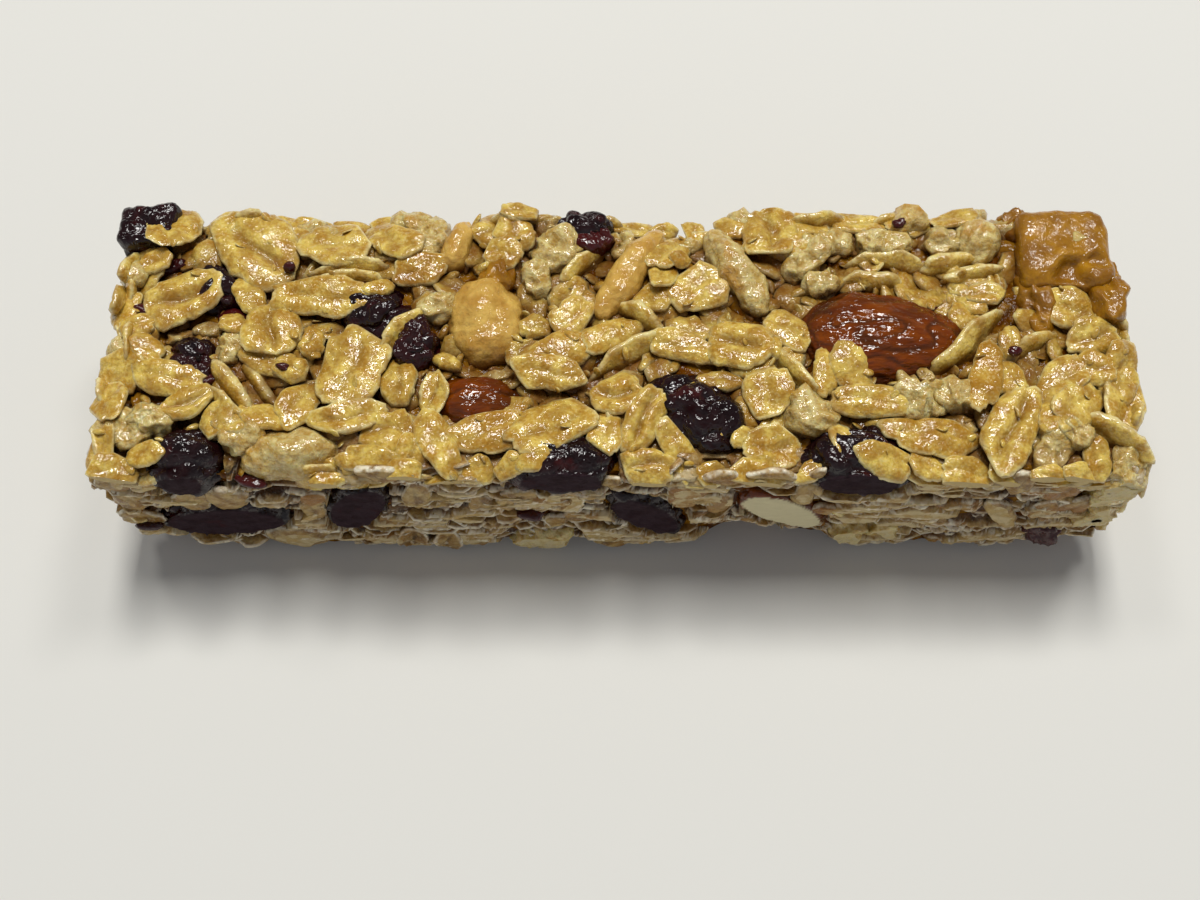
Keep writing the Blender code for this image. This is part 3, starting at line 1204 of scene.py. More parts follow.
@dataclass
class SyrupCore:
    """The syrupy meal in the middle that everything sticks to; its dark brown is partly painted shade of the
    crevices.

    It is the slab drawn in from its outline, with a lumpy surface that only shows between flakes.
    """

    voxel: float = 0.8
    drawn_in: float = 1.15
    drawn_in_below: float = 0.6
    lump: float = 0.5
    lump_size: float = 2.6
    gap: tuple[float, float, float] = (37.9, 3.4, 2.6)      # middle and radius of an open gap by the almond
    margin: tuple[tuple[float, float, float], ...] = (
        # how far strewn things stay from the left end, the front and the underside, then from the rest
        (1.9, 0.6, 0.0), (1.9, 1.9, 0.0),
    )
    lift: tuple[tuple[float, float], ...] = (
        (-51, 2), (-49, 3.6), (-43, 3.6), (-40, 0.9), (-25, 0.7), (-20, 0.3), (-12, 1.1), (3, 0.6), (8, 2),
        (10.5, 6.2), (15.5, 6.2), (17, 4.4), (20.5, 3.8), (23, 0.9), (40, 0.5), (44, 3), (50, 4.6),
    )

    def lifted(self, x: Union[Array, float]) -> Union[Array, float]:
        """How high the front's lower edge stands off the table, along the bar."""
        return np.interp(x, *zip(*self.lift))

    def build(self, skins: Skins) -> Mesh:
        """Draw the slab's skin in.

        Args:
            skins: say how near the set-in pieces are.

        Returns:
            The core's mesh, with `room`, the distance in mm from each point to the nearest set-in piece.
        """
        data = skin_of(sorted(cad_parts), self.voxel)
        points, normals = surface_of(data)
        down = smooth_step(-normals[:, 2], 0.3, 0.8)
        inward = self.drawn_in + (self.drawn_in_below - self.drawn_in) * down
        lumps = self.lump * (0.5 - cell_distance(points, self.lump_size, 11))
        lumps += 0.1 * Ripples(np.random.default_rng(3), 1.5).at(points)
        moved = points + normals * (lumps - inward)[:, None]
        near_front = smooth_step(-moved[:, 1], 9.0, 14.0)
        low, high = np.array(OUTLINE)
        moved = np.clip(moved, low + 0.6, high - 1.1)
        moved[:, 2] = np.maximum(moved[:, 2], 0.5 + near_front * self.lifted(moved[:, 0]))
        move_points(data, moved)
        room = np.array([skins.insets.find_nearest(Vector(place))[3] for place in moved + normals * 1.0])
        near_low, near_high = moved < low + self.margin[0], moved > high - self.margin[1]
        in_gap = np.hypot(moved[:, 0] - self.gap[0], moved[:, 1] - self.gap[1]) < self.gap[2]
        near = (near_low | near_high)[:, :2].any(axis=1)
        put_mark(data, "room", np.where(near | in_gap | (normals[:, 2] < 0.2), 0.0, room))
        return data


# ---------------------------------------------------------------- strewing small things over a skin


@dataclass(frozen=True)
class Strewn:
    """How one kind of small thing is strewn: distances in mm, angles in degrees."""

    spacing: float
    smallest: float
    largest: float
    tilt: float
    clearance: float
    toast: tuple[float, float]
    seed: int


class StrewTree:
    """A geometry tree that strews copies of small bodies over a skin, each lying along it."""

    def __init__(self) -> None:
        """Build the tree, and note which identifier each named input has."""
        tree = bpy.data.node_groups.new("strew_over_skin", "GeometryNodeTree")
        tree.is_modifier = True
        numbers = ("Spacing", "Smallest", "Largest", "Tilt", "Clearance", "Palest", "Darkest")
        sockets = {
            "Skin": "Geometry", "Bodies": "Collection", **dict.fromkeys(numbers, "Float"), "Seed": "Int",
            "Finish": "Material",
        }
        for name, kind in sockets.items():
            tree.interface.new_socket(name, in_out="INPUT", socket_type=f"NodeSocket{kind}")
        tree.interface.new_socket("Strewn", in_out="OUTPUT", socket_type="NodeSocketGeometry")
        recipe = Recipe(tree)
        given = add_node(tree, "NodeGroupInput").outputs
        recipe.values.update({name: given[name] for name in sockets})
        number = {"data_type": "FLOAT"}
        recipe.follow([
            ("room", ("GeometryNodeInputNamedAttribute", {**number, "Name": "room"}, 0), {}),
            ("free", ("FunctionNodeCompare", {**number, "operation": "GREATER_THAN"}, 0), {
                0: "room", 1: "Clearance",
            }),
            ("spots", ("GeometryNodeDistributePointsOnFaces", {"distribute_method": "POISSON"}, 0), {
                "Mesh": "Skin", "Selection": "free", "Distance Min": "Spacing", "Seed": "Seed",
                "Density Max": 6e5, "Density Factor": 1.0,
            }),
        ])
        recipe.values["facing"] = recipe.values["spots"].node.outputs["Rotation"]
        recipe.follow([
            ("back", TIMES, {0: "Tilt", 1: -1.0}),
            ("low", ("ShaderNodeCombineXYZ", {}, 0), {0: "back", 1: "back"}),
            ("high", ("ShaderNodeCombineXYZ", {}, 0), {0: "Tilt", 1: "Tilt", 2: 2 * math.pi}),
            ("turn", (RANDOM[0], {"data_type": "FLOAT_VECTOR"}, 0), {0: "low", 1: "high", "Seed": "Seed"}),
            ("turn", ("FunctionNodeEulerToRotation", {}, 0), {0: "turn"}),
            ("turn", ("FunctionNodeRotateRotation", {"rotation_space": "LOCAL"}, 0), {
                0: "facing", 1: "turn",
            }),
            ("size", RANDOM, {2: "Smallest", 3: "Largest", "Seed": "Seed"}),
            ("shade", RANDOM, {2: "Palest", 3: "Darkest", "Seed": "Seed"}),
            ("kinds", ("GeometryNodeCollectionInfo", {}, 0), {
                "Collection": "Bodies", "Separate Children": True, "Reset Children": True,
            }),
            ("strewn", ("GeometryNodeInstanceOnPoints", {"Pick Instance": True}, 0), {
                "Points": "spots", "Instance": "kinds", "Rotation": "turn", "Scale": "size",
            }),
            ("strewn", (
                "GeometryNodeStoreNamedAttribute", {**number, "domain": "INSTANCE", "Name": "shade"}, 0,
            ), {"Geometry": "strewn", "Value": "shade"}),
            ("strewn", ("GeometryNodeRealizeInstances", {}, 0), {"Geometry": "strewn"}),
            ("strewn", ("GeometryNodeSetMaterial", {}, 0), {"Geometry": "strewn", "Material": "Finish"}),
            ("", ("NodeGroupOutput", {}, 0), {0: "strewn"}),
        ])
        self.tree = tree
        sockets = tree.interface.items_tree
        self.inputs = {item.name: item.identifier for item in sockets if item.in_out == "INPUT"}

    def strew(
        self, skin: Mesh, bodies: Sequence[Mesh], how: Strewn, material: bpy.types.Material
    ) -> Mesh:
        """Strew bodies over a skin.

        Args:
            skin: the surface, with its `room` attribute.
            bodies: the few bodies that are repeated.
            how: spacing, sizes and the rest.
            material: their finish.

        Returns:
            All the strewn bodies as one plain mesh.
        """
        kinds = bpy.data.collections.new("strewn_bodies")
        models = [bpy.data.objects.new(f"strewn_body_{i}", data) for i, data in enumerate(bodies)]
        for model in models:
            kinds.objects.link(model)
        obj = link_object("strewn", skin)
        modifier = obj.modifiers.new("strew", "NODES")
        modifier.node_group = self.tree
        values = {
            "Bodies": kinds, "Spacing": how.spacing * MM, "Smallest": how.smallest, "Largest": how.largest,
            "Tilt": math.radians(how.tilt), "Clearance": how.clearance, "Palest": how.toast[0],
            "Darkest": how.toast[1], "Seed": how.seed, "Finish": material,
        }
        for name, value in values.items():
            modifier[self.inputs[name]] = value
        data = applied(obj)
        for model in models:
            bpy.data.objects.remove(model)
        bpy.data.collections.remove(kinds)
        return data


@dataclass
class UnderLayers:
    """What fills the depth between the laid flakes: a bed of smaller flakes, and crumbs over it."""

    flakes: Strewn = Strewn(1.7, 0.7, 1.2, 16, 0.5, (-0.1, 0.6), 5)
    crumbs: Strewn = Strewn(1.5, 0.6, 1.3, 50, 0.2, (-0.1, 0.6), 9)
    chaff: Strewn = Strewn(1.9, 0.5, 1.1, 35, 1.0, (-0.1, 0.6), 12)
    chips: Strewn = Strewn(2.9, 0.35, 0.8, 40, 0.5, (-0.3, 0.6), 14)

    def build(self, skin: Mesh, tree: StrewTree, material: bpy.types.Material) -> dict[str, Mesh]:
        """Strew both layers.

        Args:
            skin: the core's mesh, with its `room`.
            tree: strews them.
            material: their finish.

        Returns:
            The layers' meshes by the name of their piece.
        """
        flat, small = self.bodies()
        return {
            "bed_flakes": tree.strew(skin, flat, self.flakes, material),
            "crumbs": tree.strew(skin, small, self.crumbs, material),
        }

    def bodies(self) -> tuple[list[Mesh], list[Mesh]]:
        """Make the few bodies that are repeated.

        Returns:
            The flakes, then the crumbs.
        """
        rng = np.random.default_rng(17)
        flat = [
            self.alone(make_flake(4.6, 3.3, form, 0.0, rng, COARSE))
            for form in (Form.OPEN, Form.LUMPY, Form.BROKEN, Form.OPEN, Form.CURLED, Form.BROKEN)
        ]
        small = [self.alone(make_flake(2.2, 1.3, Form.CRUMB, 0.0, rng, COARSE)) for _ in range(6)]
        return flat, small

    @staticmethod
    def alone(solid: Solid) -> Mesh:
        """Make a mesh of one body alone.

        Args:
            solid: the body.

        Returns:
            Its mesh.
        """
        batch = Batch()
        batch.add(solid)
        return batch.mesh("strewn_body")


# ---------------------------------------------------------------- the top


@dataclass(frozen=True)
class Laid:
    """One flake or grain on the top: its middle, its size in mm, its turn in degrees and its sort."""

    x: float
    y: float
    long: float
    wide: float
    turn: float
    toast: float = 0.25
    form: Optional[Form] = Form.OPEN


class HeightMap:
    """The height of the bar's top on a fine grid, as it builds up."""

    STEP = 0.25
    REACH_X = 53.0
    REACH_Y = 17.5

    def __init__(self, meshes: Sequence[Mesh]) -> None:
        """Look down on what is already there.

        Args:
            meshes: what is there.
        """
        tree = tree_over(meshes)
        across = np.arange(-self.REACH_X, self.REACH_X, self.STEP)
        along = np.arange(-self.REACH_Y, self.REACH_Y, self.STEP)
        self.height = np.full((len(across), len(along)), 16.0)
        for i, x in enumerate(across):
            for j, y in enumerate(along):
                hit = tree.ray_cast(Vector((x, y, 40.0)), Vector((0, 0, -1)), 26.0)[0]
                if hit is not None:
                    self.height[i, j] = hit.z

    def cells(self, points: Array) -> tuple[Array, Array]:
        """Find the grid cells that points fall in.

        Args:
            points: places in mm.

        Returns:
            The cells' numbers along X and along Y.
        """
        cells = ((points[:, :2] + (self.REACH_X, self.REACH_Y)) / self.STEP).round().astype(int)
        cells = np.clip(cells, 1, np.array(self.height.shape) - 2)
        return cells[:, 0], cells[:, 1]

    def under(self, points: Array) -> Array:
        """The height below each point."""
        return self.height[self.cells(points)]

    def cover(self, points: Array) -> None:
        """Raise the map to a body.

        Args:
            points: the body's points in mm.
        """
        i, j = self.cells(points)
        for di, dj in itertools.product((-1, 0, 1), repeat=2):
            np.maximum.at(self.height, (i + di, j + dj), points[:, 2])

    def bridged(self, reach: float) -> Array:
        """Bridge over the crevices.

        Args:
            reach: half the width in mm of the widest crevice that is bridged.

        Returns:
            The height of every cell.
        """
        cells = reach / self.STEP
        level = -widest(-widest(self.height, cells), cells)
        steps = list(itertools.product(range(-2, 3), repeat=2))
        return np.mean([np.roll(level, step, (0, 1)) for step in steps], axis=0)


def widest(values: Array, radius: float) -> Array:
    """Spread the greatest values of a grid.

    Args:
        values: one value for each cell.
        radius: how far they spread, in cells.

    Returns:
        Each cell's greatest value within the radius.
    """
    reach = range(-int(radius), int(radius) + 1)
    steps = [(i, j) for i in reach for j in reach if i * i + j * j <= radius * radius]
    return np.maximum.reduce([np.roll(values, step, (0, 1)) for step in steps])


class SyrupAndShadeDepths:
    """How deep each point lies below the bar's top and behind its sides; deep places are darkened as gathered
    syrup and painted shade.
    """

    def __init__(self, heights: HeightMap) -> None:
        """Bridge over the crevices of the finished top."""
        self.heights = heights
        self.crest = np.minimum(heights.bridged(2.6), OUTLINE[1][2] + 0.1)

    def mark(self, data: Mesh) -> None:
        """Mark a mesh with `deep`, 0 at the surface to 1 deep down, where gathered syrup and painted shade
        darken it.

        Args:
            data: the mesh; it is changed.
        """
        points = surface_of(data)[0]
        inside = np.minimum(points - np.array(OUTLINE[0]), np.array(OUTLINE[1]) - points)
        inside[:, 2] = self.crest[self.heights.cells(points)] - points[:, 2]
        put_mark(data, "deep", smooth_step(inside.min(axis=1), 0.35, 1.9))


@dataclass
class TopLayout:
    """The flakes and puffed grains that show on top, laid one over another from the lowest up."""

    level: float = 20.5         # tops above this are pressed down
    sunk: float = 0.4           # how deep each one beds into what is below
    steepest: float = 0.3
    growth: float = 1.08        # a laid flake's rim is hidden a little, so each is made larger
    grain_proud: float = 0.55   # the share of a grain's thickness that stays above its bed

    def lay(self, rows: Sequence[Laid], heights: HeightMap, flakes: Batch, grains: Batch) -> None:
        """Lay every row in order.

        Args:
            rows: the flakes and grains, the lowest first.
            heights: the top's height so far.
            flakes: gathers the flakes.
            grains: gathers the puffed grains.
        """
        for number, row in enumerate(rows):
            rng = np.random.default_rng(TOP_SEED + number)
            if row.form is None:
                solid = make_grain(row.long, row.wide, row.toast, rng)
                grains.add(self.settle(solid, row, heights, self.grain_proud, rng))
            elif row.form is Form.EDGE:
                flakes.add(self.on_edge(row, heights, rng))
            else:
                solid = make_flake(row.long * self.growth, row.wide * self.growth, row.form, row.toast, rng)
                flakes.add(self.settle(solid, row, heights, 1.0, rng))

    def settle(
        self, solid: Solid, row: Laid, heights: HeightMap, proud: float, rng: Rng
    ) -> Solid:
        """Bed a body onto what lies under it, leaning with it.

        Args:
            solid: the body about the origin.
            row: where it goes.
            heights: the top's height so far; it is raised to the body.
            proud: the share of its thickness that stays above the bed.
            rng: the seeded source of a slight lean.

        Returns:
            The body in place.
        """
        turn = Euler((0, 0, math.radians(row.turn))).to_matrix()
        placed = solid.placed(turn, (row.x, row.y, 0.0))
        ground = heights.under(placed.points)
        local = placed.points[:, :2] - (row.x, row.y)
        fit = np.linalg.lstsq(np.c_[local, np.ones(len(local))], ground, rcond=None)[0]
        slope = np.clip(fit[:2] * 0.7, -self.steepest, self.steepest) + rng.uniform(-0.07, 0.07, 2)
        thick = placed.points[:, 2].max() - placed.points[:, 2].min()
        bed = np.percentile(ground - local @ slope, 72) - self.sunk
        lift = bed - placed.points[:, 2].min() - (1 - proud) * thick
        placed.points[:, 2] += local @ slope + lift
        excess = np.percentile(placed.points[:, 2], 92) - self.level
        if excess > 0:
            placed.points[:, 2] -= 0.75 * excess
        heights.cover(placed.points)
        return placed

    def on_edge(self, row: Laid, heights: HeightMap, rng: Rng) -> Solid:
        """Stand a flake on its long edge, its face to the front.

        Args:
            row: where it goes; its `wide` is the width that shows.
            heights: the top's height so far; it is raised to the flake.
            rng: the seeded source of its unevenness.

        Returns:
            The flake in place.
        """
        real = max(3.6, row.long * 0.55)
        roll = math.acos(min(0.9, max(0.15, (row.wide - 0.9) / real)))
        solid = make_flake(row.long * self.growth, real, Form.EDGE, row.toast, rng)
        turn = Euler((0, 0, math.radians(row.turn))).to_matrix() @ Euler((roll, 0, 0)).to_matrix()
        placed = solid.placed(turn, (row.x, row.y, 0.0))
        ground = np.percentile(heights.under(placed.points), 80)
        top = min(ground + 0.9, self.level + 0.35)
        placed.points[:, 2] += top - placed.points[:, 2].max()
        heights.cover(placed.points)
        return placed


def top_rows() -> list[Laid]:
    """List the top's flakes and puffed grains.

    Returns:
        The rows, the lowest first; a grain's form is None.
    """
    creased, curled, smooth = Form.CREASED, Form.CURLED, Form.SMOOTH
    lumpy, broken, edge = Form.LUMPY, Form.BROKEN, Form.EDGE
    grains = [
        (-47.2, -9.9, 6.6, 4.4, 5), (-44.3, -9.2, 4, 3.4, -20), (-38.2, -1.2, 3.3, 2.8, 80, -0.2),
        (-35.2, 4, 2.2, 1.9, 0, -0.2), (-19.4, 12.4, 5.8, 4.2, 75), (-18.4, 3.5, 3.6, 3, 60, -0.1),
        (-7.2, 13.6, 2.8, 2.4, 20), (-6.6, 9.9, 5.6, 4.6, 40, -0.2), (-8.4, 6.6, 3.4, 3, 70),
        (21, 11.4, 6.6, 3.4, 5), (26.6, 11.2, 6, 3.4, -4), (18.7, 9.2, 5.6, 3.6, 50),
        (20, 6.4, 3.6, 2.8, 25), (18, -8.2, 5.4, 4.6, -40), (29.4, -6.9, 4.6, 4, 10),
        (32.4, -6.2, 4.2, 3.6, 30), (40.6, -12, 5.2, 3.4, 75), (43, -10.6, 3.2, 2.8, 0),
        (48, -13.6, 5, 4, 70, 0), (-49.4, -1.2, 2.4, 2, 60), (32.6, 11.6, 4.8, 3.4, 10),
        (-43.6, 0.5, 3, 1.9, 15, -0.5), (-40.8, 1.1, 3, 1.6, 8, -0.5), (-12.4, -4, 3.6, 1.3, 8, -0.6),
        (-44.7, -14.6, 2.6, 1.2, 8, -0.5), (0.2, 11.2, 4.2, 2.2, 70, -0.4),
        (27.3, -4.6, 2.6, 1.3, -70, -0.6), (29.3, -4.3, 2.2, 1.4, -60, -0.6),
        (-36.6, -10.6, 4.6, 3.2, -15, 0.5), (27.6, -7, 4.2, 3.4, 0), (46.6, 11, 3.4, 2.4, 60),
        (47.4, -9.2, 3.6, 2.6, 20),
    ]
    rows = [
        # left end, back to front
        (-48.2, 8.2, 6.2, 5, 80, 0.1), (-49.2, 3.4, 4.4, 3, 80, 0.5, smooth), (-47.2, 1, 3.6, 2.6, 10),
        (-46.8, 8.6, 3.8, 2.6, 20, 0.3), (-48.6, -3.9, 5.6, 4.6, 90), (-48.9, -7.4, 4.6, 3.6, 80, 0.5),
        (-49, -12.4, 4.4, 3, 80, 0.55), (-47.8, -14.4, 4.6, 3.2, 10, 0.6),
        (-45.3, 13, 7.6, 4.8, 85, 0.35), (-44.8, -12.9, 3.6, 2.6, 20, 0.2),
        (-38, 14.6, 5, 1.7, 0, 0.2, edge), (-40.6, 13.6, 4.4, 3.2, 60, 0.5),
        (-34.4, 13.9, 3.2, 2.6, 90), (-31.6, 14.2, 4.2, 3, 0, 0.35), (-32.4, 11.4, 4, 3, -70, 0.6),
        (-38.1, 1.5, 2.6, 2.3, 0, -0.2, smooth), (-36.8, 4.6, 5.2, 2.8, -65, 0.2, smooth),
        (-34.2, -2.6, 6.6, 3.4, -25, 0.35), (-36.2, -9.2, 3.6, 2.6, 60, 0.3),
        (-37.7, -8, 5.4, 1.8, -45, 0.3, edge), (-35.2, -5.3, 5.4, 2.2, -50, 0.3, edge),
        (-37.8, -5.3, 6.4, 2.3, -48, 0, edge), (-31.8, -3.9, 3.4, 2.6, -10, 0.3, lumpy),
        (-46, -1.6, 4, 2.6, -40, 0.5), (-33.7, -8.9, 4.2, 3, 0, 0.4, smooth),
        (-38.4, -9.3, 4.2, 3.4, 80, 0.15), (-41.3, -7.5, 5, 3.2, 25, 0.3, creased),
        (-44, -4.8, 7.2, 3.7, -5, -0.25), (-36.9, 10.3, 9.8, 7.6, -52, 0.05, creased),
        (-34.2, 0.7, 6, 5.4, 90, 0.15, creased), (-43.4, 4.4, 7.4, 5.8, 28, 0.05, creased),
        # left of the middle
        (-27.6, 14.2, 4.8, 3.2, 0, 0.5), (-23.5, 14.2, 5.2, 3.2, 0), (-13, 12.9, 5, 4, 40, 0.6, lumpy),
        (-10.8, 12, 4.6, 3.8, -60, 0.5, lumpy), (-12, 9.3, 4.2, 3.2, 0, 0.7), (-10.2, 14.4, 4, 2.4, 0),
        (-20, 7.7, 5.6, 3.8, 15, 0.95), (-22.2, 10.8, 6.2, 3.8, -25, 0),
        (-27, 6.1, 8.2, 2.2, 3, 0.35, edge), (-27.3, 7.5, 8.8, 2.1, 5, -0.05, edge),
        (-28.4, 10.5, 7.6, 5.4, -10, 0.1), (-24, 5.2, 2.9, 1.8, 20, 0, smooth),
        (-29.8, 4.2, 9.6, 4.4, -3, 0.45), (-30.9, -7.5, 5.2, 3.7, 70, 0.2),
        (-30.2, -0.9, 3.4, 2.4, 80, 0.3, lumpy), (-21.3, 0.8, 6.4, 2.3, 52, 0.1, edge),
        (-17, -2.6, 3, 1.5, -30, 0.1, smooth), (-18, -6, 4.8, 2.8, 80, 0.3, curled),
        (-21.4, -4.9, 5.8, 3.5, 85, 0.5, lumpy), (-22.2, -10.3, 5, 4.8, 0, 0.3, lumpy),
        (-19.9, -12.6, 4, 3, 80, 0.3, lumpy), (-26.3, -9.1, 7, 3.4, 10, 0.4, curled),
        (-26.1, -3.2, 8.8, 6.8, 80, 0.25, lumpy), (-24, -13.2, 5.8, 3, -8, 0, broken),
        (-27.8, -14.6, 3.6, 1.8, 5, -0.1, broken), (-20.4, -14.6, 3.8, 2.6, 0, 0.1, broken),
        (-13.6, -13.9, 3.6, 2.6, 10, 0.2, broken), (-10.6, -13.9, 3.2, 2.4, 30, 0.2, broken),
        (-17.3, -11.5, 8.2, 3.5, -58, 0.05, broken), (-12.3, -10.2, 8.8, 4.4, 20, 0.85),
        # the middle
        (-8.7, 1.4, 3.2, 2.8, 0), (1.6, 14.3, 5.2, 2.4, 8), (4.6, 13.9, 3, 2.4, 20, 0.3),
        (-4, 8.5, 6.8, 1.7, 50, 0.2, edge), (-5, 2.2, 5.2, 3.7, 50),
        (-9.6, -1.4, 3.6, 2.8, 40, 0.4, lumpy), (-6.3, -1.9, 7.2, 3.6, 28, 0.6, smooth),
        (3.1, 4.6, 5.2, 3.4, 40), (6.5, 1.2, 5.2, 3.4, 0, 0.3), (4.2, 7, 4, 2.8, 60, 0.4),
        (5, 9.8, 6.6, 3.2, 40, 0.1), (6, 8.6, 2.4, 1.6, 0, 0.7, broken),
        (-1, 0.3, 6.2, 3, 32, 0.25, smooth), (1.8, 2.6, 4.8, 2, -35, 0.2, edge),
        (5.9, -0.9, 7.4, 3.2, -10), (9.8, -4.7, 4.8, 2.3, 0, 0.5), (0.5, -2, 9.2, 2.3, 30, 0.05, edge),
        (-6.8, -4.2, 7.2, 3.5, -3, 0.4), (-1.5, -10.7, 4.4, 3.3, 85),
        (-0.4, -6.2, 5, 4.8, 10, 0.15, creased), (2, -9.4, 7.2, 3.3, 60, 0.2, creased),
        (-8.2, -13.6, 3.4, 2.2, 20, 0.2, broken), (-6.5, -10, 8.8, 5.6, 28, 0.15, lumpy),
        (2.3, -13.6, 5.2, 3.2, 0, 0.4, creased), (5.5, -12.2, 7.2, 2.9, -55, 0.05),
        (8.6, -14.2, 3.6, 2.4, 10, 0.4), (7.9, 5.7, 7.2, 4.8, 35, 0),
        (11.3, -10.8, 2.5, 1.6, 50, -0.2, smooth), (7.6, 13, 3.4, 2.4, -60, 0.4),
        # right of the middle
        (11.5, 13.4, 3.4, 3, 0, 0.6, smooth), (19.2, 13.5, 4, 3.6, 0, 0.6), (24, 14, 6.2, 2.9, 0),
        (29.6, 13.8, 4.6, 3, 0, 0.3), (34.2, 14, 4.6, 2.8, 5, 0.4), (38.4, 14.2, 4, 2.6, 0, 0.2),
        (15.1, 12.2, 6.7, 5.4, 85, 0.3, creased), (27.6, 8.6, 9.6, 2.7, 2, 0.25, edge),
        (33.2, 9, 5.4, 2.2, 12, 0.3, edge), (24.8, 6.6, 7.4, 2.1, -3, 0.05, edge),
        (12.6, -3.2, 4.2, 2.4, 0, 0.4), (14.8, -1.3, 2.6, 1.5, 90, 0.3, smooth),
        (11.5, -0.9, 5.9, 5.6, 0, 0.3, creased), (16.4, 0.8, 5.5, 3.9, -38, 0.05),
        (16.5, -4, 5.8, 2.1, -50, 0.4, edge), (14.1, -6.4, 5.5, 4.7, 90),
        (19.6, -4.1, 5, 2.3, 90, 0.2, smooth), (22.2, -3.8, 5.9, 3.6, -75, 0, smooth),
        (23.9, -7.4, 7.6, 3.3, -5, 0), (14.3, -11.6, 5.4, 4.2, 10, 0.45, curled),
        (12.8, -14.3, 6.6, 2.9, 0, 0.45), (17.6, -14.2, 3, 2, 40, -0.3, broken),
        (24.5, -13.4, 5.1, 3.1, -12, -0.2, smooth), (28.6, -13.6, 3.6, 3.2, 0),
        (32.6, -14.2, 5.2, 3.2, 0, 0.5), (36.2, -14.4, 3.8, 2.8, 0, 0.3),
        (29.5, -10.6, 9.6, 4.1, -6, 0.75),
        # right end
        (35.2, 7.4, 7, 1.7, 10, 0.3, edge), (38.2, -0.6, 4.2, 2.3, 90, -0.1), (44.6, 3.2, 5.4, 5, 0),
        (48.2, 2, 4, 3.4, 70, 0.3, lumpy), (46, -0.2, 5.2, 3.8, 20, 0.3, lumpy),
        (48.6, -2.6, 4.4, 3.8, 60, 0.4, lumpy), (45.4, -3.6, 4.8, 3.3, -20, 0.25, lumpy),
        (41, -8.6, 4.2, 3, 50, 0.2), (37.2, -4.7, 3.9, 3.7, 0, 0.05),
        (35, -4.6, 7.6, 3, 75, 0.85, smooth), (42.3, -5, 7.2, 3.9, 40, 0.15),
        (43.3, -7.9, 6.7, 4, 42, 0.15), (40.7, -0.6, 5.4, 2.5, 28, -0.1, edge),
        (34, -0.8, 9.6, 2.8, 42, 0.05, edge), (44.6, -12.9, 4, 2.9, 90, 0.2), (39.8, -15, 3.6, 2.6, 0),
        (42.6, -14.8, 3.2, 2.6, 0, 0.1), (48.2, -7.2, 6.7, 4.2, 70, 0.4, curled),
        (47, -10.8, 7.2, 2, -35, 0.05, edge), (36.8, -10.3, 9.6, 4.6, 67, 0.25, creased),
    ]
    return [Laid(*(*row, PALE)[:6], None) for row in grains] + [Laid(*row) for row in rows]


@dataclass
class SyrupPools:
    """Set syrup in the crevices of the top, which stands a little below the flakes round it; its dark brown
    is partly painted shade.
    """

    reach: float = 1.4          # crevices up to twice this wide are filled
    drop: float = 1.8
    thick: float = 1.3
    spread: int = 3             # cells by which each pool runs under the flakes round it

    def build(self, heights: HeightMap) -> Mesh:
        """Fill the crevices.

        Args:
            heights: the finished top.

        Returns:
            The pools as closed slabs, with `room` set where crumbs may lie on them.
        """
        level = heights.bridged(self.reach) - self.drop
        x = -heights.REACH_X + np.arange(level.shape[0]) * heights.STEP
        y = -heights.REACH_Y + np.arange(level.shape[1]) * heights.STEP
        on_top = (np.abs(x)[:, None] < 48.4) & (y[None, :] > -13.8) & (y[None, :] < 13.6)
        wet = (level > heights.height - 0.1) & on_top & (level > 16.0)
        wet = (widest(wet.astype(float), self.spread) > 0) & on_top & (heights.height > 16.5)
        number = -np.ones(wet.shape, int)
        rows, columns = np.nonzero(wet)
        number[rows, columns] = np.arange(len(rows))
        top = np.stack([x[rows], y[columns], level[rows, columns]], axis=1)
        top[:, 2] += 0.06 * Ripples(np.random.default_rng(8), 1.3).at(top)
        quads = wet[:-1, :-1] & wet[1:, :-1] & wet[:-1, 1:] & wet[1:, 1:]
        i, j = np.nonzero(quads)
        upper = np.stack([number[i, j], number[i + 1, j], number[i + 1, j + 1], number[i, j + 1]], axis=1)
        lower = upper[:, ::-1] + len(top)
        edges = np.concatenate([upper[:, [k, (k + 1) % 4]] for k in range(4)])
        known = {(a, b) for a, b in edges.tolist()}
        sides = [(b, a, a + len(top), b + len(top)) for a, b in known if (b, a) not in known]
        points = np.concatenate([top, top - (0, 0, self.thick)])
        faces = upper.tolist() + lower.tolist() + sorted(sides)
        return make_mesh("syrup_pools", points, faces, {"room": np.repeat([9.0, 0.0], len(top))})


# ---------------------------------------------------------------- the sides


DEEPEST = (46.0, 11.0, -6.0)    # how far out a side's surface reaches at the least, for each axis


class Side(Enum):
    """A side of the bar: the axis it stands across, and which way it faces."""

    FRONT = (1, -1)
    BACK = (1, 1)
    LEFT = (0, -1)
    RIGHT = (0, 1)
    UNDER = (2, -1)


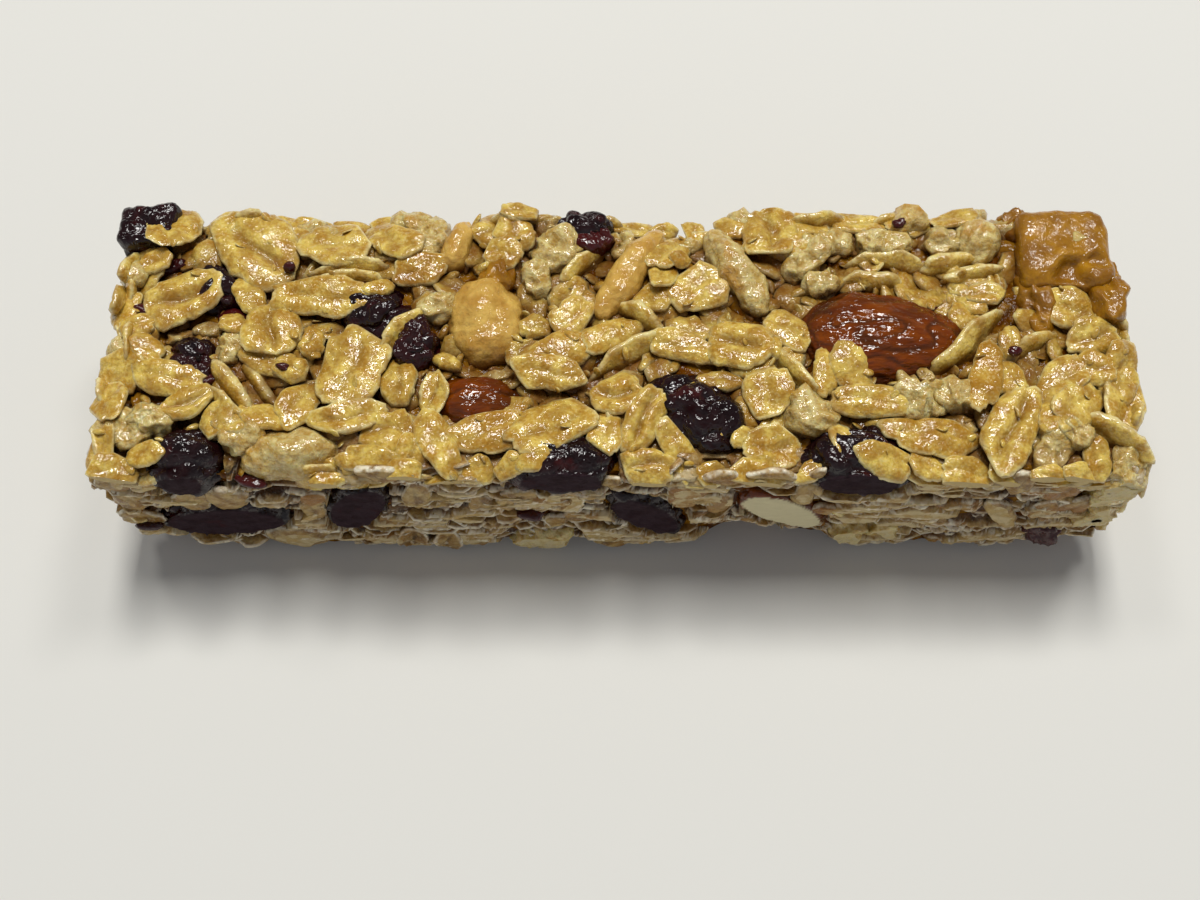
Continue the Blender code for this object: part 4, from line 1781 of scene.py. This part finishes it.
@dataclass(frozen=True)
class Wall:
    """One side, packed with flakes: most lie flat in the slab and show an edge, some face outward."""

    side: Side
    width: float
    low: float
    high: float
    pitch: float = 2.9
    row: float = 1.75
    lying: float = 0.62
    grains: float = 0.12
    ragged: float = 0.35
    pale: float = 0.1
    seed: int = 0

    def directions(self) -> tuple[Vector, Vector, Vector]:
        """Tell the side's directions.

        Returns:
            Along the side, up it, and out of it.
        """
        axis, way = self.side.value
        out = Vector([float(way) if i == axis else 0.0 for i in range(3)])
        up = Vector((0, 1, 0)) if axis == 2 else Vector((0, 0, 1))
        return up.cross(out), up, out

    def fill(self, skins: Skins, core: SyrupCore, flakes: Batch, grains: Batch) -> None:
        """Pack the side.

        Args:
            skins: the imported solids, which say where the surface is.
            core: says how high the front's lower edge stands.
            flakes: gathers the flakes.
            grains: gathers the puffed grains.
        """
        rng = np.random.default_rng(WALL_SEED + self.seed)
        along, up, out = self.directions()
        outward = Matrix((along, up, out)).transposed()      # turns a flake to face out of the side
        for v in np.arange(self.low, self.high, self.row):
            for u in np.arange(-self.width, self.width, self.pitch):
                spot_u = u + rng.uniform(-0.5, 0.5) * self.pitch
                spot_v = v + rng.uniform(-0.45, 0.45) * self.row
                long, wide = rng.uniform(3.6, 6.8), rng.uniform(3.0, 4.6)
                start = along * spot_u + up * spot_v + out * 80
                if self.side is Side.FRONT and spot_v < core.lifted(spot_u) + 0.6:
                    continue
                if self.side is Side.UNDER and spot_v < -11.0 + 2.2 * core.lifted(-spot_u):
                    continue
                in_corner = start.y < -13.4 or start.y > 13.2 or (spot_v < 4.0 and start.y < -8)
                if self.side in (Side.LEFT, Side.RIGHT) and in_corner:
                    continue
                hit, on_inset = skins.outside(start, -out)
                ends = [skins.outside(start + along * reach * long, -out)[1] for reach in (-0.33, 0.33)]
                if hit is None or on_inset or any(ends) or hit.dot(out) < DEEPEST[self.side.value[0]]:
                    continue
                flat = rng.random() < self.lying
                toast = rng.uniform(-0.25, 0.75) - self.pale
                if rng.random() < self.grains:
                    solid = make_grain(long * 0.75, wide * 0.75, toast, rng, 9, 12)
                    turn = Euler(rng.uniform(-0.5, 0.5, 3)).to_matrix() @ outward
                    grains.add(solid.placed(turn, hit - out * 1.0))
                    continue
                form = rng.choice([Form.OPEN, Form.BROKEN, Form.LUMPY, Form.CURLED, Form.SMOOTH])
                if self.side is Side.FRONT:
                    form = Form.THIN
                fine = self.side in (Side.BACK, Side.LEFT, Side.RIGHT)
                solid = make_flake(long, wide, form, toast, rng, MEDIUM if fine else COARSE)
                lean = Euler((rng.normal(0, 0.2), rng.normal(0, 0.22), rng.normal(0, 0.4))).to_matrix()
                if flat and self.side is not Side.UNDER:
                    frame_turn = Matrix((along, -out, up)).transposed()
                    sunk = wide * 0.5 + rng.uniform(0.0, self.ragged)
                else:
                    frame_turn = outward
                    lean = Euler((rng.normal(0, 0.16), rng.normal(0, 0.16), rng.uniform(0, 6.3))).to_matrix()
                    sunk = rng.uniform(0.5, 1.1)
                flakes.add(solid.placed(frame_turn @ lean, hit - out * sunk))


@dataclass
class CutWall:
    """The knife-cut front between the set-in pieces: thin pressed layers, broken off at several depths."""

    step: float = 0.2
    rows: int = 96
    top: float = 18.3
    end: float = 49.8
    back: float = -11.5
    deepest: float = 2.0

    def build(self, skins: Skins, core: SyrupCore) -> Mesh:
        """Break the front into layers.

        Args:
            skins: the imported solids, which make gaps in it.
            core: says how high the front's lower edge stands.

        Returns:
            The front as one closed slab.
        """
        rng = np.random.default_rng(21)
        across = np.arange(-self.end, self.end, self.step)
        line = np.stack([across, 0 * across, 0 * across], axis=1)
        low = core.lifted(across) + 0.4 + 0.3 * Ripples(rng, 3.0).at(line) + 0.22 * Ripples(rng, 1.1).at(line)
        low = np.maximum(low, 0.3)
        share = np.tile(np.linspace(0.0, 1.0, self.rows), len(across))
        x = np.repeat(across, self.rows)
        z = np.repeat(low, self.rows) * (1 - share) + self.top * share
        depth, marks = self.layers(x, z, rng)
        depth = depth.reshape(len(across), self.rows)
        for axis in (0, 0, 0, 0, 1):
            depth = 0.5 * depth + 0.25 * (np.roll(depth, 1, axis) + np.roll(depth, -1, axis))
        depth = np.clip(depth.ravel(), 0.0, self.deepest)
        marks["cut"] = (depth < 0.03).astype(float)
        # the deeper the face lies behind the knife's plane, the darker it is painted: painted shade
        marks["crease"] = smooth_step(depth, 0.1, 0.9)
        depth += 1.4 * np.clip(1 - share / 0.1, 0, 1) ** 2 + 0.6 * np.clip((share - 0.96) / 0.04, 0, 1)
        depth += 1.6 * np.clip((np.abs(x) - 48.6) / 1.2, 0, 1) ** 2
        depth = np.maximum(depth, 2.6 * self.insets_at(x, z, skins))
        depth += 0.03 * Ripples(rng, 0.7).at(np.stack([x, 0 * x, z], axis=1))
        face = np.stack([x, CUT_PLANE + depth, z], axis=1)
        rear_low = np.stack([across, np.full(len(across), self.back), low + 0.4], axis=1)
        rear_top = rear_low * (1, 1, 0) + (0, 0, self.top)
        blank = np.zeros(2 * len(across))
        marks = {mark: np.concatenate([values, blank]) for mark, values in marks.items()}
        points = np.concatenate([face, rear_low, rear_top])
        return make_mesh("front_layers", points, self.faces(len(across)), marks)

    def layers(self, x: Array, z: Array, rng: Rng) -> tuple[Array, Marks]:
        """How deep the broken face lies behind the knife's plane, and its marks.

        Args:
            x: the places along the bar, in mm.
            z: their heights.
            rng: the seeded source of the warps.

        Returns:
            The depth at each place, below 0 where the knife cut it flat, and the marks.
        """
        flat = np.stack([x, 0 * x, z], axis=1)
        high = z + 0.7 * Ripples(rng, 12.0).at(flat) + 0.16 * Ripples(rng, 2.2).at(flat)
        high += 0.07 * Ripples(rng, 0.8).at(flat)
        wide = x + 0.5 * Ripples(rng, 2.5).at(flat) + 0.12 * Ripples(rng, 0.7).at(flat)
        thick = Cells.over(np.stack([wide / 5.2, high / 1.9], axis=1), 31)
        thin = Cells.over(np.stack([wide / 4.2, high / 0.72], axis=1), 32)
        level_rim = smooth_step(np.abs(thin.offset[:, 1]), 0.15, 0.35)
        depth = 2.0 * (thick.values[:, 0] - 0.3) + 1.3 * (thin.values[:, 0] - 0.5)
        depth += 0.6 * thick.offset[:, 1] * (thick.values[:, 1] - 0.3) - 1.3 * thin.offset[:, 1]
        rims = [1 - smooth_step(cells.gap, 0.0, 0.16) for cells in (thick, thin)]
        depth += 1.4 * rims[0] + 0.7 * rims[1] * level_rim
        fibres = 0.07 * Ripples(rng, 1.0).at(flat * (0.4, 1, 1))
        depth += fibres + 0.05 * Ripples(rng, 0.5).at(flat * (0.35, 1, 1))
        # the upper edge of each proud thin layer shows pale: meal where it broke, and painted light where
        # light from above catches it
        meal_and_lit_lip = smooth_step(thin.offset[:, 1], 0.1, 0.3) * (depth < 0.6)
        marks = {
            "toast": 1.2 * thick.values[:, 2] + 0.8 * thin.values[:, 2] - 0.8,
            "rim": 0.84 + 0.16 * meal_and_lit_lip,
        }
        return depth, marks

    @staticmethod
    def insets_at(x: Array, z: Array, skins: Skins) -> Array:
        """Look from the front at the pieces set into it.

        Args:
            x: places along the bar, in mm.
            z: their heights.
            skins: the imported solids.

        Returns:
            How much of each place is taken by a piece, 0 to 1.
        """
        step = 0.3
        grid = np.zeros((int(104 / step), int(22 / step)))
        for i, j in itertools.product(range(grid.shape[0]), range(grid.shape[1])):
            start = Vector((i * step - 52, -80.0, j * step))
            grid[i, j] = skins.insets.ray_cast(start, Vector((0, 1, 0)), 68.0)[0] is not None
        steps = itertools.product((-1, 0, 1), repeat=2)
        soft = np.mean([np.roll(grid, shift, (0, 1)) for shift in steps], axis=0)
        i = np.clip(((x + 52) / step).round().astype(int), 0, grid.shape[0] - 1)
        j = np.clip((z / step).round().astype(int), 0, grid.shape[1] - 1)
        return smooth_step(soft[i, j], 0.3, 0.75)

    def faces(self, count: int) -> list[tuple[int, ...]]:
        """List the slab's faces.

        Args:
            count: how many columns of points it has.

        Returns:
            The faces, as numbers of points.
        """
        rows = self.rows
        rear_low, rear_top = count * rows, count * (rows + 1)
        made: list[tuple[int, ...]] = []
        for i in range(count - 1):
            here, after = i * rows, (i + 1) * rows
            made += [(here + j, after + j, after + j + 1, here + j + 1) for j in range(rows - 1)]
            made.append((here, rear_low + i, rear_low + i + 1, after))
            made.append((here + rows - 1, after + rows - 1, rear_top + i + 1, rear_top + i))
            made.append((rear_low + i, rear_top + i, rear_top + i + 1, rear_low + i + 1))
        last = (count - 1) * rows
        made.append((*range(rows), rear_top, rear_low))
        made.append((rear_low + count - 1, rear_top + count - 1, *range(last + rows - 1, last - 1, -1)))
        return made


@dataclass(frozen=True)
class Set:
    """One flake or grain in the cut front: its middle along X and Z, its size, its turn and its sort."""

    x: float
    z: float
    long: float
    high: float
    turn: float
    toast: float
    form: Optional[Form] = Form.OPEN
    lying: bool = False


def front_rows() -> list[Set]:
    """List the flakes and grains that stand out in the cut front.

    Returns:
        The rows; a grain's form is None.
    """
    curled, smooth, broken, lying = Form.CURLED, Form.SMOOTH, Form.BROKEN, (Form.OPEN, True)
    rows = [
        (-48.2, 17.6, 4.6, 3.6, 80, 0.4), (-48, 13, 4.6, 3.4, 85, 0.4), (-48, 8.8, 4.6, 3.4, 0, 0.1),
        (-48, 5.2, 3.6, 1.2, 10, 0, *lying), (-42, 13.3, 4.6, 4.2, 80, -0.2),
        (-38.3, 13.6, 4.8, 4.2, 70, 0.4, smooth), (-31, 9.3, 4.6, 1.4, 45, -0.3, *lying),
        (-30.5, 11, 5.6, 2.8, 85, 0.25), (-30, 13.6, 3, 2.6, 0, 0.9),
        (-33.2, 3.3, 6.6, 4.8, 0, 0.3, smooth), (-42, 2.8, 6, 1.6, 5, 0.1, *lying),
        (-38.5, 1.9, 4.4, 1.4, -8, 0.2, *lying), (-27, 3.6, 5.4, 1.6, 12, 0, *lying),
        (-22.8, 19.2, 4.8, 2.8, 0, 0.5), (-20, 14, 6.2, 3.2, 80, 0.3),
        (-15.3, 18.2, 5, 1.6, 4, -0.4, *lying), (-15.8, 16.3, 4.8, 1.5, -4, -0.4, *lying),
        (-14.8, 14.6, 4.4, 1.3, 6, -0.3, *lying), (-13.7, 12.4, 3.2, 2.6, 80, 0.2),
        (-11.4, 12.5, 3, 2.4, 75, -0.1), (-9.8, 14.2, 4.4, 2.6, 20, -0.2),
        (-5.6, 13.2, 4.8, 4.4, 70, 0.4, curled), (-1, 17, 2.6, 2.2, 60, -0.5, broken),
        (-19.4, 9.2, 4.4, 1.4, 0, 0.1, *lying), (-15.5, 8.6, 5.2, 1.5, -5, 0, *lying),
        (-16, 6.6, 5.6, 1.4, 3, -0.1, *lying), (-11, 8.8, 4.8, 1.4, 12, -0.1, *lying),
        (-18.6, 5.2, 5.2, 1.3, 0, -0.3, *lying), (-21.6, 2.9, 4.8, 3.6, 85, 0.6, curled),
        (-17.8, 2.9, 4.6, 3.4, 80, 0.6, curled), (-14.8, 3.4, 4.2, 3, 90, 0.5),
        (-8.4, 2.8, 6.8, 4.2, 10, -0.3, None), (-6.5, 7.6, 3.4, 2.6, 60, -0.1, broken),
        (-4.2, 9.3, 3, 2.8, 0, 0.4), (-1, 3.1, 4.2, 3.8, 0, 0.3),
        (-3, 6.2, 5.2, 1.4, -20, -0.1, *lying), (6.4, 14.4, 6, 4.2, 80, 0.75, smooth),
        (9.5, 12.6, 5.2, 2.2, 85, 0.7, smooth), (9.6, 18.3, 3.8, 3.2, 0, 0.5),
        (14, 18.6, 5.6, 3, 0, 0.5, broken), (17.5, 14.4, 5.4, 2.1, 85, -0.1, smooth),
        (21.5, 14.2, 7.2, 1.6, -8, -0.4, *lying), (20, 11, 2.6, 2, 0, 1.1),
        (21.6, 10.3, 3, 2.4, 20, -0.2, None), (18, 18.6, 3.2, 1.5, 60, -0.6, broken),
        (18.4, 16, 2.8, 1.3, -50, -0.6, broken), (23.6, 4.8, 4.6, 3.6, 60, -0.1, None),
        (26.8, 5.6, 4.2, 3.4, 80, 0, None), (31.6, 17.3, 7.2, 2.2, 0, -0.2, *lying),
        (31, 15.2, 6.6, 2, 4, -0.2, *lying), (37.5, 17.5, 4.8, 3.2, 85, 0.1),
        (37.8, 10, 7.4, 2.4, -60, -0.5, smooth), (42.5, 15.5, 5.2, 3.6, 70, 0.8),
        (44.6, 11.5, 5.2, 3.6, 60, 0.7), (41.8, 11, 4.6, 3, 80, 0.7), (47.2, 15, 5.4, 4.2, 80, 0, None),
        (47.4, 9.6, 5.2, 4, 60, 0, None),
    ]
    return [Set(*row) for row in rows]


@dataclass
class CutFront:
    """The knife-cut front: chosen flakes over packed ones, all cut off near one plane."""

    planes: tuple[float, ...] = (0.05, -0.1, -0.25)

    def set_rows(self, rows: Sequence[Set], flakes: Sequence[Batch], grains: Batch) -> None:
        """Put the chosen flakes and grains in place.

        Args:
            rows: the flakes and grains.
            flakes: gathers the flakes, one batch for each plane of cut.
            grains: gathers the puffed grains.
        """
        facing = Euler((math.pi / 2, 0, 0)).to_matrix()
        for number, row in enumerate(rows):
            rng = np.random.default_rng(FRONT_SEED + number)
            turn = Euler((0, -math.radians(row.turn), 0)).to_matrix()
            batch = flakes[number % len(flakes)]
            if row.form is None:
                solid = make_grain(row.long, row.high, row.toast, rng)
                grains.add(solid.placed(turn, (row.x, CUT_PLANE + 1.3, row.z)))
            elif row.lying:
                deep = rng.uniform(4.0, 5.2)
                solid = make_flake(row.long, deep, row.form, row.toast, rng, MEDIUM)
                batch.add(solid.placed(turn, (row.x, CUT_PLANE + deep / 2 - 0.5, row.z)))
            else:
                solid = make_flake(row.long, row.high, row.form, row.toast, rng, FINE)
                batch.add(solid.placed(turn @ facing, (row.x, CUT_PLANE + 0.55, row.z)))


@dataclass(frozen=True)
class Scrap:
    """A scrap of fruit or nut: its middle and size in mm, its turn in degrees and how toasted or red."""

    x: float
    y: float
    z: float
    long: float
    wide: float
    turn: float = 0.0
    red: float = 0.7


FRUIT_SCRAPS = (
    (37.9, -2, 20, 1.6, 1.2), (-33, 7.5, 20.2, 1.3, 1.1), (-32.6, -3.8, 20, 1.4, 1),
    (-47.5, 3.3, 18.8, 2.6, 1.6), (47.9, 3.4, 19.4, 2, 1.4), (28.3, 13, 19.8, 1.6, 1.2),
    (-39.8, -4.7, 19.2, 2, 1.3, 40), (-9.1, -14.3, 10, 3.4, 3, 90), (43.5, -14.2, 5.6, 4, 3.2),
    (-35.6, -14.3, 17.2, 4.2, 1.6), (-36, 13.6, 18.8, 3.4, 1.6), (-22.8, 2, 18.1, 5, 4, 50, 0.1),
    (-20.4, -0.6, 18.6, 5.4, 4, 60, 0.2), (-45.6, 8.4, 18.5, 4.6, 1.8, 25, 0.3),
    (-39.6, 5, 17.8, 4, 3.4, 60, 0.1), (-2.6, 11.6, 18.8, 3.6, 3.2, 20, 0.8),
    (-41.6, -3, 18.6, 4.4, 3.6, 80, 0.2), (-38.6, 2.6, 18.6, 3.4, 2.6, 0, 0.8),
    (-47.4, -15, 8, 3, 2, 0, 0.4), (0.6, -9.6, 18.4, 4.6, 2.4, 30, 0.4),
    (13.6, -8.4, 18.4, 3, 2.2, 0, 0.5), (29.6, 4.2, 18, 5, 2, -20, 0.9),
    (-9.6, -13.8, 17.2, 4, 2.2, 0, 0.6),
)
CARAMEL_SCRAPS = (
    (48.4, 5.4, 18.6, 8.4, 3.8, 96, 0.2), (41.2, 4.6, 18.5, 7.6, 3.2, 104, 0.2),
    (46.6, 11.8, 18.4, 5, 4, 70, 0.2), (40.4, 13.4, 18, 3.8, 3.2, 70, 0.2),
    (-12.6, 7.2, 18.4, 4.2, 3.2, 20, 0.2),
)


@dataclass(frozen=True)
class Scraps:
    """Scraps of one kind, too small to be pieces of their own."""

    name: str
    bits: tuple[tuple[float, ...], ...]     # each one's fields
    lump: float = 3.1                       # wider ones are lumps, the others slivers

    def build(self) -> Mesh:
        """Make all the scraps.

        Returns:
            Their one mesh.
        """
        batch = Batch()
        for number, bit in enumerate(itertools.starmap(Scrap, self.bits)):
            rng = np.random.default_rng(SCRAP_SEED + number)
            turn = Euler((0, 0, math.radians(bit.turn))).to_matrix()
            turn = turn @ Euler(rng.uniform(-0.4, 0.4, 3)).to_matrix()
            if bit.wide > self.lump:
                solid = make_grain(bit.long, bit.wide, bit.red, rng)
            else:
                solid = make_flake(bit.long, bit.wide, Form.BROKEN, bit.red, rng, MEDIUM)
            batch.add(solid.placed(turn, (bit.x, bit.y, bit.z)))
        return batch.mesh(self.name)


# ---------------------------------------------------------------- floor, light, camera


@dataclass
class Studio:
    """A pale floor, soft overhead light from behind, and a camera above the front."""

    floor_colour: str = "#e0dfd9"
    room_colour: str = "#f6f8ff"
    room_strength: float = 0.45
    ceiling_strength: float = 0.1
    panels: tuple[tuple[float, float, float, float, float], ...] = (
        # elevation and turn in degrees, share of the light, width and height in metres
        (72.0, 88.0, 0.68, 0.17, 0.42), (58.0, 52.0, 0.2, 0.17, 0.24), (60.0, 126.0, 0.12, 0.13, 0.18),
    )
    power: float = 9.4
    camera_place: tuple[float, float, float] = (-2.1, -68.1, 138.7)
    camera_tilt: float = 25.1
    lens: float = 42.0

    def build(self) -> None:
        """Make all of it."""
        self.floor()
        self.light()
        self.camera()

    def floor(self) -> None:
        """A flat, matt sheet."""
        shape = bmesh.new()
        bmesh.ops.create_grid(shape, x_segments=2, y_segments=2, size=1.2)
        data = bpy.data.meshes.new("floor")
        shape.to_mesh(data)
        shape.free()
        made = bpy.data.materials.new("matt_paper")
        made.use_nodes = True
        shader = made.node_tree.nodes["Principled BSDF"]
        shader.inputs["Base Color"].default_value = linear(self.floor_colour)
        shader.inputs["Roughness"].default_value = 0.8
        shader.inputs["Specular IOR Level"].default_value = 0.2
        link_object("floor", data, made)

    def light(self) -> None:
        """Panels overhead, and the light of a pale room."""
        for number, (height, turn, share, wide, high) in enumerate(self.panels):
            lamp = bpy.data.lights.new(f"panel_{number}", "AREA")
            lamp.energy = self.power * share
            lamp.shape, lamp.size, lamp.size_y = "RECTANGLE", wide, high
            lamp.color = (1.0, 0.99, 0.965)
            obj = bpy.data.objects.new(f"panel_{number}", lamp)
            up, way = math.radians(height), math.radians(turn)
            place = Vector((math.cos(up) * math.cos(way), math.cos(up) * math.sin(way), math.sin(up)))
            obj.location = place
            obj.rotation_euler = place.to_track_quat("Z", "Y").to_euler()
            bpy.context.scene.collection.objects.link(obj)
        world = bpy.data.worlds.new("pale_room")
        world.use_nodes = True
        tree = world.node_tree
        background = tree.nodes["Background"]
        background.inputs["Color"].default_value = linear(self.room_colour)
        way = add_node(tree, "ShaderNodeTexCoord").outputs["Generated"]
        settings = {"operation": "DOT_PRODUCT", 1: (0, 0.5, 0.87)}
        upward = add_node(tree, "ShaderNodeVectorMath", settings, {0: way}).outputs["Value"]
        settings = {"From Min": -0.3, "From Max": 0.9}
        settings.update({"To Min": self.room_strength, "To Max": self.ceiling_strength})
        fade = add_node(tree, "ShaderNodeMapRange", settings, {"Value": upward})
        tree.links.new(fade.outputs["Result"], background.inputs["Strength"])
        bpy.context.scene.world = world
        bpy.context.scene.view_settings.view_transform = "Standard"

    def camera(self) -> None:
        """The camera, looking down on the top and the cut front."""
        data = bpy.data.cameras.new("camera")
        data.lens = self.lens
        data.sensor_width = 36.0
        data.clip_start = 0.005
        obj = bpy.data.objects.new("camera", data)
        obj.location = Vector(self.camera_place) * MM
        obj.rotation_euler = Euler((math.radians(self.camera_tilt), 0, 0))
        bpy.context.scene.collection.objects.link(obj)
        bpy.context.scene.camera = obj


# ---------------------------------------------------------------- the bar


@dataclass
class GranolaBar:
    """The whole bar: core, set-in pieces, strewn layers, laid top and packed sides."""

    finishes: Finishes = field(default_factory=Finishes)
    core: SyrupCore = field(default_factory=SyrupCore)
    under: UnderLayers = field(default_factory=UnderLayers)
    top: TopLayout = field(default_factory=TopLayout)
    front: CutFront = field(default_factory=CutFront)
    fruit_bits: Scraps = Scraps("fruit_bits", FRUIT_SCRAPS)
    caramel_bits: Scraps = Scraps("caramel_bits", CARAMEL_SCRAPS)

    def build(self) -> None:
        """Build every piece, from the middle out."""
        paint = {name: finish.material() for name, finish in vars(self.finishes).items()}
        skins, tree = Skins(), StrewTree()
        core = self.core.build(skins)
        strewn = self.under.build(core, tree, paint["oat"])
        for data in strewn.values():
            trim(data, 2, -1, UNDERSIDE)
            trim(data, 1, -1, CUT_PLANE)
        set_in = {inset.node: (inset, paint[finish], inset.build()) for inset, finish in insets()}
        heights = HeightMap([core, *strewn.values(), *(data for _, _, data in set_in.values())])
        laid = self.lay_top(heights)
        pools = SyrupPools().build(heights)
        chaff = tree.strew(pools.copy(), self.under.bodies()[1], self.under.chaff, paint["oat"])
        bed = self.chip_bed(laid["top_flakes"][0])
        chips = tree.strew(bed, self.under.bodies()[1], self.under.chips, paint["oat"])
        trim(chips, 1, -1, CUT_PLANE - 0.12)
        # `deep` darkens each piece deep down: gathered syrup and painted shade
        depths = SyrupAndShadeDepths(heights)
        rows = [("syrup_core", core, "core", "oats"), ("syrup_pools", pools, "syrup", "oats")]
        rows += [("chaff", chaff, "oat", "oats"), ("chips", chips, "oat", "oats")]
        rows += [(name, data, "oat", "oats") for name, data in strewn.items()]
        rows += [("fruit_bits", self.fruit_bits.build(), "fruit", "dried_fruit")]
        rows += [("caramel_bits", self.caramel_bits.build(), "caramel", "nut")]
        rows += [(name, data, finish, slot) for name, (data, finish, slot) in laid.items()]
        for name, data, finish, slot in rows:
            depths.mark(data)
            show(name, data, paint[finish], ["oat_slab"] if name == "syrup_core" else [])
        for inset, material, data in set_in.values():
            depths.mark(data)
            show(f"{inset.node}_look", data, material, [inset.node])
        self.pack_front(skins, depths, paint)
        self.pack_others(skins, depths, paint)

    @staticmethod
    def chip_bed(flakes: Mesh) -> Mesh:
        """Say where chips may lie: on faces that look up, inside the outline.

        Args:
            flakes: the laid flakes.

        Returns:
            A copy of the flakes, with `room` where chips may lie.
        """
        bed = flakes.copy()
        points, normals = surface_of(bed)
        inner = (np.abs(points[:, 0]) < 49.4) & (points[:, 1] < 14.6)
        put_mark(bed, "room", (inner & (normals[:, 2] > 0.35)).astype(float))
        return bed

    def lay_top(self, heights: HeightMap) -> dict[str, tuple[Mesh, str, str]]:
        """Lay the top, and trim its front rim as the knife did.

        Args:
            heights: the top's height so far; it is raised.

        Returns:
            Each mesh by the name of its piece, with its finish and its slot.
        """
        flakes, grains = Batch(), Batch()
        self.top.lay(top_rows(), heights, flakes, grains)
        laid = {
            "top_flakes": (flakes.mesh("top_flakes"), "oat", "oats"),
            "top_puffed_grains": (grains.mesh("top_puffed_grains"), "rice", "puffed_rice"),
        }
        for data, _, _ in laid.values():
            trim(data, 1, -1, CUT_PLANE - 0.12)
        return laid

    def pack_front(self, skins: Skins, depths: SyrupAndShadeDepths, paint: Paint) -> None:
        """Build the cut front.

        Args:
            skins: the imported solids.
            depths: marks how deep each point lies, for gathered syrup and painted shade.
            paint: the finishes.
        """
        batches = [Batch() for _ in self.front.planes]
        grains = Batch()
        layers = CutWall().build(skins, self.core)
        depths.mark(layers)
        show("front_layers", layers, paint["strata"])
        packed = Wall(
            Side.FRONT, 49.0, 0.6, 19.0, pitch=2.6, row=1.15, lying=1.0, grains=0.0, ragged=1.1, pale=0.2,
            seed=1,
        )
        packed.fill(skins, self.core, batches[0], grains)
        self.front.set_rows(front_rows(), batches, grains)
        for number, (batch, plane) in enumerate(zip(batches, self.front.planes)):
            data = batch.mesh(f"front_strata_{number}")
            trim(data, 1, -1, CUT_PLANE + plane)
            trim(data, 2, -1, UNDERSIDE)
            depths.mark(data)
            show(f"front_strata_{number}", data, paint["strata"])
        data = grains.mesh("front_puffed_grains")
        trim(data, 1, -1, CUT_PLANE - 0.2)
        trim(data, 2, -1, UNDERSIDE)
        depths.mark(data)
        show("front_puffed_grains", data, paint["rice"])

    def pack_others(self, skins: Skins, depths: SyrupAndShadeDepths, paint: Paint) -> None:
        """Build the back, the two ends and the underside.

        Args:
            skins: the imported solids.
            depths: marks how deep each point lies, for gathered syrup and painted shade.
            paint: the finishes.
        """
        walls = {
            "back": Wall(Side.BACK, 50.0, 0.8, 20.0, row=1.9, lying=0.5, seed=2),
            "left_end": Wall(Side.LEFT, 14.6, 0.8, 20.0, row=1.9, lying=0.4, ragged=0.6, seed=3),
            "right_end": Wall(Side.RIGHT, 14.6, 0.8, 20.0, row=1.9, lying=0.4, ragged=0.6, seed=4),
            "underside": Wall(
                Side.UNDER, 47.0, -12.4, 13.6, pitch=4.2, row=3.4, lying=0.0, grains=0.0, seed=5
            ),
        }
        grains = Batch()
        for name, wall in walls.items():
            flakes = Batch()
            wall.fill(skins, self.core, flakes, grains)
            data = flakes.mesh(f"{name}_flakes")
            trim(data, 2, -1, UNDERSIDE)
            depths.mark(data)
            show(f"{name}_flakes", data, paint["strata" if wall.side is Side.UNDER else "oat"])
        data = grains.mesh("side_puffed_grains")
        trim(data, 2, -1, UNDERSIDE)
        depths.mark(data)
        show("side_puffed_grains", data, paint["rice"])


def main() -> None:
    """Build the scene and the bar, logging each piece's triangles as it is shown."""
    logging.basicConfig(level=logging.INFO, format="%(name)s %(message)s")
    Studio().build()
    GranolaBar().build()


if __name__ == "__main__":
    main()
